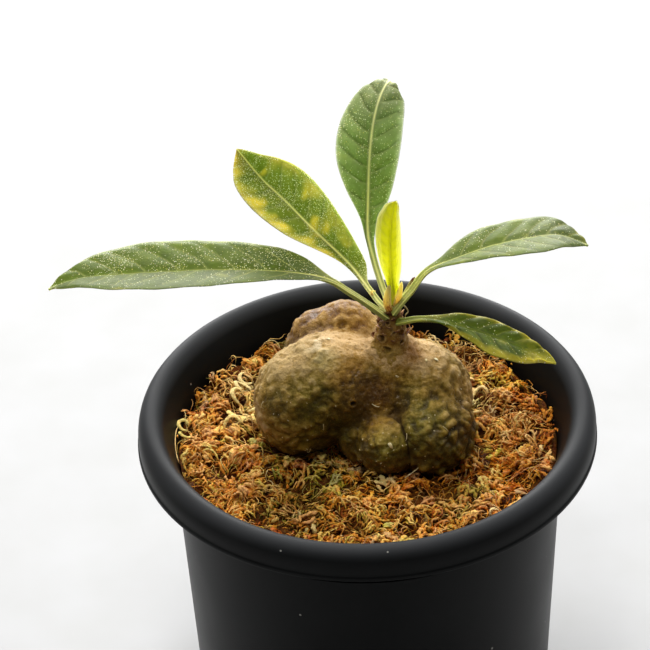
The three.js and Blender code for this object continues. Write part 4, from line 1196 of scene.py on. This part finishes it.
SHOOT = {
    "bud_scale_left": (papery_scale, dict(
        route=[[8.6, 3.9, 159.8], [7.7, 3.1, 163.6], [7.8, 2.9, 167.6], [8.7, 3.5, 171.2]],
        half_width_mm=1.6, thickness=0.45, face=[0.5, 1, -0.2])),
    "bud_scale_right": (papery_scale, dict(
        route=[[10.4, 4.8, 160.4], [11.5, 4.3, 164.8], [12.1, 4.4, 168.4], [12.6, 4.9, 171.4]],
        half_width_mm=1.5, thickness=0.45, face=[-0.6, 1, -0.2])),
    "petiole_stub": (stub_skin, dict(
        route=[[11.8, 7.9, 160.4], [15.0, 9.6, 165.6], [17.0, 10.6, 168.9]],
        half_width_mm=0.8, thickness=1.35, face=[0, -1, 0.4], taper=9, cup=0)),
}
for name, (finish, shape) in SHOOT.items():
    rings, along = tongue(**shape)
    ring_piece(name + "_fine", rings, finish, "bud_scale", [name], {"along": along})

# %% Dark bracts round the crown
BRACTS = 34
bract_rings, bract_along = [], []
rng = np.random.default_rng(64)
for k in range(BRACTS):
    turn, foot_z = k * LEAF_TURN + 0.5, 148.2 + 0.33 * k
    out = np.array([math.cos(turn), math.sin(turn), 0])
    foot_radius = float(np.interp(foot_z, STEM[:, 2], STEM[:, 3]))
    flare, tall = rng.uniform(0.2, 1.3), rng.uniform(1.4, 3.0)
    foot = np.array([9.0, 5.4, foot_z]) + out * (foot_radius - 0.5)
    lean = np.array([-out[1], out[0], 0]) * rng.uniform(-0.8, 0.8)
    route = [foot, foot + out * 0.7 + [0, 0, 0.4 * tall], foot + out * (0.8 + flare) + lean + [0, 0, tall]]
    rings, along_value = tongue(route, rng.uniform(0.7, 1.6), 0.3, -out, rows=12, columns=12, taper=1.6)
    bract_rings.append(rings)
    bract_along.append(along_value)


def join_skins(ring_sets):
    """Points and faces of several ring skins as one mesh."""
    skins = [skin(rings) for rings in ring_sets]
    starts = np.cumsum([0] + [len(points) for points, _ in skins])
    quads = np.concatenate([faces[0] + at for (_, faces), at in zip(skins, starts)])
    triangles = np.concatenate([faces[1] + at for (_, faces), at in zip(skins, starts)])
    return np.concatenate([points for points, _ in skins]), (quads, triangles)


points, faces = join_skins(bract_rings)
make_piece("crown_bracts", points, faces, dry_bract, "caudex_bark", ["caudex"],
           values={"along": np.concatenate([with_ends(value) for value in bract_along])})

# %% [markdown]
# Small dry things make the plant real: threads of root skin that stick out of the bark, flakes and crumbs of
# moss that dried on it, a rootlet that hangs beside the crown, and one dry bract on a leaf stalk. Each is a
# short tube or tongue, placed by the nearest point of the skin, so that it sits on it from every side.

# %% Dry threads and flakes on the skin
skin_places, skin_ways = caudex_rings.reshape(-1, 3), normal.reshape(-1, 3)


def on_skin(place):
    """The point of the caudex skin nearest to a place, and the way out of the skin there."""
    nearest = np.linalg.norm(skin_places - np.array(place), axis=1).argmin()
    return skin_places[nearest], skin_ways[nearest]


THREADS = [  # route, thickness
    ([[12.4, 4.6, 162.8], [13.8, 4.6, 161.2], [14.4, 4.6, 159.6], [13.6, 4.6, 158.4], [13.4, 4.8, 156.8]], 0.3),
    ([[11.4, -22.5, 113], [14.8, -20.8, 114.6], [18.4, -19.6, 117]], 0.2),
]
THREAD_SPOTS = [[11.9, -17.7, 124.4], [-14.7, -10, 124.7], [-19.8, -8.8, 115.3], [4, -12, 134], [-30, -2, 128],
                [26, -17, 127]]
CRUMBS = 110

thread_rings = []
share = np.linspace(0, 1, 16)
for route, thick in THREADS:
    thread_rings.append(tube(smooth_path(route, share)[0], thick * mix(1, 0.4, share), 6))
rng = np.random.default_rng(81)
for spot in THREAD_SPOTS:
    foot, out = on_skin(spot)
    aside = unit(np.cross(out, rng.standard_normal(3)))
    line, _ = smooth_path([foot - 0.2 * out, foot + 0.7 * out + 0.4 * aside, foot + 0.9 * out + 1.6 * aside,
                           foot + 0.3 * out + 2.6 * aside], np.linspace(0, 1, 12))
    thread_rings.append(tube(line, np.full(12, 0.11), 5))
flake_spots = [[7.1, -19.8, 124.2], [19.7, 0.8, 142.4], [23, 2.2, 141.6], [10.1, -4, 140.4],
               [-11.3, 7.7, 147.6]]
flake_sizes = [1.1, 0.7, 0.8, 0.6, 0.7]
for _ in range(CRUMBS):
    turn, tall = rng.uniform(np.pi, 2 * np.pi), rng.uniform(112, 138)
    flake_spots.append([30 * math.cos(turn), 4 + 26 * math.sin(turn), tall])
    flake_sizes.append(rng.uniform(0.16, 0.34))
for spot, size in zip(flake_spots, flake_sizes):
    foot, out = on_skin(spot)
    aside = unit(np.cross(out, rng.standard_normal(3)))
    route = [foot - size * aside + 0.02 * out, foot + 0.25 * size * out, foot + size * aside + 0.1 * size * out]
    thread_rings.append(tongue(route, 0.55 * size, 0.2, out, rows=6, columns=6)[0])
dry_skin = tongue_finish("dry_root_skin", "a98a52", "d9c58c", "efe4bd", 0.0, 0.55)
points, faces = join_skins(thread_rings)
make_piece("dry_bits", points, faces, dry_skin, "caudex_bark", ["caudex"],
           values={"along": 0.5 + 0.5 * waves(points, 3, 82)})
stalk_bract, along = tongue([[3.2, 9.4, 162.6], [3.0, 9.2, 164.8], [4.4, 9, 165]], 0.6, 0.3, [0.4, 1, 0.5],
                            rows=14, columns=10)
ring_piece("stalk_bract", stalk_bract, papery_scale, "yellowing_leaf", ["leaf_back_left"], {"along": along})

# %% [markdown]
# ## The moss
#
# The pot is filled with dried sphagnum: curled, scaly branches 0.5 to 1.7 mm thick with hair-fine fibres
# among them, rust to straw with olive and cream, in small bunches, heaped so that the gaps between them are
# almost black, and painted shade darkens the bed below them and the strands that lie deep. A particle system
# would scatter one strand many times, but a formula lets every strand have its own curl. A strand is a path of
# nine stations whose heading turns steadily, arched in the middle so that both ends dip under others, with a
# section of three to five sides that swells and narrows like scales. A bunch shares its heading, its tone and
# its height.

# %% The moss bed
MOSS_RADIUS, BED_AROUND = 61.8, 160
MOSS_LEVEL, RISE_AT_WALL, WALL_RADIUS = 110.6, 1.8, 61.2
TUFT_WAVES = [  # height, length, direction in degrees, shift
    [0.75, 23, 12, 0.4], [0.7, 17, 74, 1.9], [0.6, 12.5, 131, 3.1], [0.5, 10.5, 38, 5.2],
]


def moss_top(x, y):
    """The height of the moss at a place: level, higher at the wall, rough with the solid's tufts, and with
    finer heaps and hollows."""
    z = MOSS_LEVEL + RISE_AT_WALL * (np.hypot(x, y) / WALL_RADIUS) ** 3
    for height, length, degrees, shift in TUFT_WAVES:
        along = x * math.cos(math.radians(degrees)) + y * math.sin(math.radians(degrees))
        z = z + height * np.sin(2 * np.pi * along / length + shift)
    return z + 1.1 * flat_waves(x, y, 8, 51) + 0.9 * flat_waves(x, y, 4, 52)


def wall_inside(z):
    """The radius of the pot's inner wall at a height, less a small gap."""
    inner = over[:14]
    return np.interp(z, [7, *inner[:, 1]], [56, *inner[:, 0]]) - 0.25


share_out = np.linspace(0.02, 1, 60)
wall_down = np.array([
    [WALL_RADIUS, 104], [60.6, 98], [57.8, 40], [55.4, 9], [51, 5.2], [20, 5.2], [0.3, 5.2],
])
turn = round_angles(BED_AROUND)
bed_x, bed_y = (MOSS_RADIUS * share_out[:, None] * way(turn) for way in (np.cos, np.sin))
bed_z = moss_top(bed_x, bed_y) - 2.6 + 0.5 * flat_waves(bed_x, bed_y, 1.6, 53)
bed_rings = np.concatenate([np.stack([bed_x, bed_y, bed_z], -1), lathe(wall_down, BED_AROUND)])
print("bed rings:", bed_rings.shape)

# %% Dried sphagnum
def moss_finish():
    """Rust to straw to olive by the strand's own tone, cream by its paleness, part of which is painted light,
    darker by its shade, which is painted shade, with scales."""
    material, tree, shader = new_finish("dried_sphagnum", Roughness=0.65, IOR=1.4, Specular_IOR_Level=0.12)
    part = mesh_values(tree, ("tone", "paleness", "shade"))
    scales = noise(tree, add(tree, "ShaderNodeTexCoord").outputs["Object"], 1000.0, 3.0)
    tone = ramp(tree, stirred(tree, part["tone"], scales, 0.9), (0.0, "6a2a04"), (0.18, "b8540a"),
                (0.34, "de8218"), (0.5, "e8a030"), (0.66, "ecc456"), (0.8, "c4b028"), (0.95, "7a7812"))
    tone = layered(tree, tone, [(1.0, part["paleness"], "f3e0a0"), (1.0, part["shade"], "1c0f05")])
    drive(tree, shader, Base_Color=tone, Normal=bump(tree, 1.0, 0.0007, scales))
    return material


sphagnum = moss_finish()
bed_points, bed_faces = skin(bed_rings)
bed_noise = waves(bed_points, 2.2, 54)
# The bed under the strands is painted dark with its shade value: painted shade for the gaps.
make_piece("moss_bed", bed_points, bed_faces, sphagnum, "dry_moss", ["moss"],
           values={"tone": 0.3 + 0.2 * bed_noise, "paleness": bed_noise * 0, "shade": 0.85 + 0.1 * bed_noise})

# %% [markdown]
# Colour patches are placed where the real pot has them: rust at the left and at the front right, cream at the
# far left and right of the caudex, olive at the front and by the wall. Each is a soft round spot that pulls
# the tone of the strands in it, and a broad random field does the rest.

# %% Colour patches and paths of strands
TONE_SPOTS = [  # x, y, radius, tone, paleness
    (-53, -10, 12, 0.5, 0.1), (-50, 3, 8, 0.42, 0.05), (-55, 9, 6, 0.25, 0), (16, -33, 12, 0.3, 0),
    (50, 18, 9, 0.3, 0), (49, -19, 9, 0.3, 0), (33, 40, 8, 0.3, 0.2), (-40, 32, 8, 0.6, 0.75),
    (-42, 15, 7, 0.66, 0.55), (-60, 10, 5, 0.74, 0.45), (38, 19, 6, 0.55, 0.6), (-29, -37, 6, 0.84, 0),
    (-19, -26, 7, 0.84, 0), (-11, -18, 6, 0.85, 0), (44, 5, 5, 0.72, 0.1), (51, -2, 10, 0.36, 0.12),
    (46, 12, 7, 0.38, 0.25), (-7, -42, 10, 0.42, 0.05), (45, 28, 6, 0.78, 0), (30, -38, 7, 0.68, 0.05),
    (0, -48, 8, 0.44, 0.05), (-45, -28, 9, 0.48, 0.05),
]


def strand_paths(rng, centre, heading, length, curl, arch, layer, slant, stations):
    """Paths of strands round their centres: the heading turns by curl over the length and sways a little, and
    the height follows the moss with an arch and a slant. Strands stay within the pot's wall."""
    s = np.linspace(-0.5, 0.5, stations)
    size, pace, shift = (rng.uniform(*ends, (len(centre), 1)) for ends in ((0.1, 0.9), (4, 13), (0, 6)))
    course = heading[:, None] + curl[:, None] * s + size * np.sin(s * pace + shift)
    stride = (length / (stations - 1))[:, None, None]
    flat = np.cumsum(np.stack([np.cos(course), np.sin(course)], -1), 1) * stride
    flat = flat - flat.mean(1, keepdims=True) + centre[:, None]
    rise = arch[:, None] * (1 - (2 * s) ** 2) + (slant * length)[:, None] * s
    z = moss_top(flat[..., 0], flat[..., 1]) + layer[:, None] + rise - 1.1
    out = np.linalg.norm(flat, axis=-1)
    flat = flat * np.minimum(1, (wall_inside(z) - 0.4) / np.maximum(out, 1e-6))[..., None]
    return np.concatenate([flat, z[..., None]], -1)


def strand_mesh(rng, paths, radius, flat, sides, scaly):
    """All strands as one mesh: tapering tubes with pointed ends, whose width swells and shrinks by scaly from
    station to station."""
    count, stations = paths.shape[:2]
    s = np.linspace(0, 1, stations)
    profile = np.sqrt(np.clip(1 - np.abs(2 * s - 1) ** 2.4, 0.03, 1))
    swell = 1 + scaly * ((-1.0) ** np.arange(stations) + rng.uniform(-1, 1, (count, stations)))
    rings = tube(paths, radius[:, None] * profile * swell, sides, flat)
    points, faces = skin(rings[0])
    ends = np.stack([rings[:, 0].mean(1), rings[:, -1].mean(1)], 1)
    all_points = np.concatenate([rings.reshape(count, -1, 3), ends], 1)
    offset = (np.arange(count) * len(points))[:, None, None]
    faces = tuple((group[None] + offset).reshape(-1, group.shape[1]) for group in faces)
    return all_points.reshape(-1, 3), faces


print("colour patches:", len(TONE_SPOTS), "strands:", strand_paths.__name__, "and", strand_mesh.__name__)

# %% Bunches and their tones
def bunches(rng, count, per_bunch, comb, seed):
    """Places, headings, layers and slants of bunches that lie outside the caudex, repeated for their
    strands."""
    spread = (MOSS_RADIUS - 0.8) * np.sqrt(rng.random(count * 2))
    angle = rng.random(count * 2) * 2 * np.pi
    place = np.stack([spread * np.cos(angle), spread * np.sin(angle)], -1)
    buried = lobe_parts(np.c_[place, np.full(len(place), 112.5)]).sum(-1) > 3
    place = place[~buried][:count]
    heading = comb * 2.6 * np.pi * flat_waves(*place.T, 9, seed)
    heading = heading + rng.uniform(-np.pi, np.pi, count) * (1 - 0.6 * comb)
    layer, slant = rng.uniform(-1.1, 1.4, count), rng.uniform(-0.35, 0.35, count)
    return (np.repeat(value, per_bunch, axis=0) for value in (place, heading, layer, slant))


def strand_tones(rng, place, layer, per_bunch):
    """Tone, paleness and shade of every strand: by a broad field, the spots, its bunch and its own chance.
    Strands that lie low, at the back or in the hollows at the front take more painted shade, and those at the
    sides less, which paints them brighter."""
    x, y = place.T
    own = np.repeat(rng.standard_normal(len(place) // per_bunch), per_bunch)
    tone = 0.44 + 0.15 * own + 0.06 * rng.standard_normal(len(place)) + 0.2 * flat_waves(x, y, 11, 61)
    pale = 0.5 * np.repeat(rng.random(len(place) // per_bunch) < 0.08, per_bunch)
    for spot_x, spot_y, radius, spot_tone, spot_pale in TONE_SPOTS:
        pull = 0.75 * np.exp(-((x - spot_x) ** 2 + (y - spot_y) ** 2) / radius**2)
        tone = mix(tone, spot_tone + 0.1 * own, pull)
        pale = mix(pale, spot_pale, pull)
    at_back = 0.3 * step(y, 18, 38) * (1 - step(-x, 28, 42))
    hollows = 0.36 * np.exp(-((np.abs(x) - 28) ** 2 + (y + 31) ** 2) / 200)
    hollows = hollows + 0.16 * np.exp(-((x + 26) ** 2 + (y + 42) ** 2) / 160)
    dim = 0.24 + at_back + hollows - 0.5 * step(np.abs(x), 34, 46)
    shade = np.clip(dim - 0.2 * layer + 0.08 * rng.standard_normal(len(place)), 0, 0.7)
    return {"tone": np.clip(tone, 0.02, 0.97), "paleness": np.clip(pale, 0, 0.9), "shade": shade}


print("bunches:", bunches.__name__, "and", strand_tones.__name__)

# %% Groups of strands
def strand_group(name, count, per_bunch, seed, radius, length, curl, arch, comb=0.6, fan=0.35, spread=1.0,
                 stations=9, flat=0.75, sides=4, scaly=0.2):
    """A piece of many bunches of strands. Each pair gives a lowest and a highest value; comb is how closely
    the headings follow the patch that they lie in, and fan is how far the strands of a bunch spread, in
    radians."""
    rng = np.random.default_rng(seed)
    place, heading, layer, slant = bunches(rng, count, per_bunch, comb, seed)
    total = count * per_bunch
    values = strand_tones(rng, place, layer, per_bunch)
    place = place + spread * rng.standard_normal((total, 2))
    heading = heading + fan * rng.standard_normal(total)
    turned = np.repeat(rng.choice([-1, 1], count), per_bunch) * rng.uniform(*curl, total)
    paths = strand_paths(rng, place, heading, rng.uniform(*length, total), turned, rng.uniform(*arch, total),
                         layer + 0.3 * rng.standard_normal(total), slant, stations)
    points, faces = strand_mesh(rng, paths, rng.uniform(*radius, total), flat, sides, scaly)
    each = len(points) // total
    values = {key: np.repeat(value, each) for key, value in values.items()}
    # Painted shade on strands that lie deep, and painted light, as paleness, on those that lie high.
    depth = points[:, 2] - moss_top(points[:, 0], points[:, 1])
    values["shade"] = np.clip(values["shade"] + 0.5 * step(-depth, -0.6, 2.2), 0, 0.85)
    values["paleness"] = np.clip(values["paleness"] + 0.3 * step(depth, 0.5, 1.9), 0, 0.9)
    make_piece(name, points, faces, sphagnum, "dry_moss", ["moss"], values=values)


STRAND_GROUPS = {
    "moss_branches": dict(count=330, per_bunch=5, seed=71, radius=(0.42, 0.85), length=(2.8, 6.2),
                          curl=(0.4, 3.0), arch=(0.3, 1.5), sides=5, scaly=0.26, spread=1.1, flat=0.7),
    "moss_strands": dict(count=430, per_bunch=6, seed=72, radius=(0.24, 0.5), length=(3, 7), curl=(0.3, 2.6),
                         arch=(0.3, 1.7), comb=0.8, fan=0.28),
    "moss_fibres": dict(count=1500, per_bunch=1, seed=73, radius=(0.08, 0.17), length=(4, 12), curl=(0.2, 3.2),
                        arch=(0.5, 2.6), comb=0.4, sides=3, scaly=0.1),
    "moss_flakes": dict(count=850, per_bunch=3, seed=74, radius=(0.25, 0.6), length=(1.4, 3.2), curl=(0, 0.8),
                        arch=(0.1, 0.5), comb=0.2, fan=1.2, spread=1.4, stations=3, flat=0.45, scaly=0.1),
}
for name, group in STRAND_GROUPS.items():
    strand_group(name, **group)

# %% [markdown]
# A few strands are placed one by one, because they stand out: cream ribbons and loops at the left of the
# caudex, a yellow-green curl and a thin strand that lie against the wall, and pale fibres that stand up at the
# back right. A curl is a few turns of a circle that rises and falls.

# %% Ribbons, curls and fibres that stand out
CURLS = [  # x, y, circle radius, first angle, sweep, strand radius, rise, tone, paleness
    (-44, 8, 3.0, 20, 150, 0.85, 1.6, 0.66, 0.55), (-36.5, 20, 2.8, 200, 170, 0.9, 1.8, 0.64, 0.75),
    (-42, 16, 3.4, 140, 140, 0.8, 1.4, 0.7, 0.5), (-40.5, 30, 2.4, 0, 290, 0.75, 1.6, 0.55, 0.85),
    (-39.5, 36.5, 2.2, 90, 250, 0.7, 1.4, 0.55, 0.8), (-41.5, 24.5, 2.6, 60, 220, 0.8, 1.7, 0.6, 0.7),
    (-46, 12, 5.5, 330, 70, 0.6, 0.9, 0.72, 0.45), (-33, 14, 4.5, 150, 80, 0.6, 1.2, 0.72, 0.4),
    (-60.2, 9.8, 1.7, 0, 330, 0.7, 1.6, 0.78, 0.45), (-59.6, 6.6, 1.9, 120, 260, 0.6, 1.4, 0.8, 0.35),
    (38, 21, 2.6, 0, 200, 0.7, 1.3, 0.5, 0.7), (36, 15, 3.0, 180, 150, 0.6, 1.2, 0.52, 0.6),
    (34, 26, 3.4, 40, 120, 0.6, 1.3, 0.46, 0.6),
]
WALL_STRAND = [[-61.4, 11.5, 111.8], [-62.4, 8, 113.2], [-62.9, 3, 113.3], [-62.7, -3, 112.6], [-61.6, -8, 111]]
FIBRE_FEET = [(26, 42), (29, 45), (31.5, 46), (34, 44), (36, 45), (38.5, 42), (-46, 37), (-52, 22), (-50, 28)]

placed = []  # path, strand radius, tone, paleness
share = np.linspace(0, 1, 15)
for x, y, circle_radius, first_angle, sweep, thick, rise, curl_tone, pale in CURLS:
    angle = np.radians(first_angle + sweep * share)
    flat = np.stack([x + circle_radius * np.cos(angle), y + circle_radius * np.sin(angle)], -1)
    z = moss_top(*flat.T) + 0.3 + rise * np.sin(np.pi * share) ** 0.7
    placed.append((np.c_[flat, z], thick, curl_tone, pale))
rng = np.random.default_rng(91)
for x, y in FIBRE_FEET:
    lean, tall = rng.uniform(-2.6, 2.6, 2), rng.uniform(3.2, 5.2)
    ground = float(moss_top(np.array(x), np.array(y)))
    route = [[x, y, ground - 1], [x + 0.3 * lean[0], y, ground + 0.5 * tall],
             [x + lean[0], y + 0.4 * lean[1], ground + tall],
             [x + 1.7 * lean[0], y + lean[1], ground + 0.8 * tall]]
    placed.append((smooth_path(route, share)[0], 0.2, 0.5, 0.7))
placed.append((smooth_path(WALL_STRAND, share)[0], 0.22, 0.45, 0.6))
paths, radii, tones, pales = (np.array(column) for column in zip(*placed))
points, faces = strand_mesh(rng, paths, radii, 0.6, 8, 0.07)
each = len(points) // len(paths)
make_piece("moss_curls", points, faces, sphagnum, "dry_moss", ["moss"],
           values={"tone": np.repeat(tones, each), "paleness": np.repeat(pales, each),
                   "shade": np.zeros(len(points))})
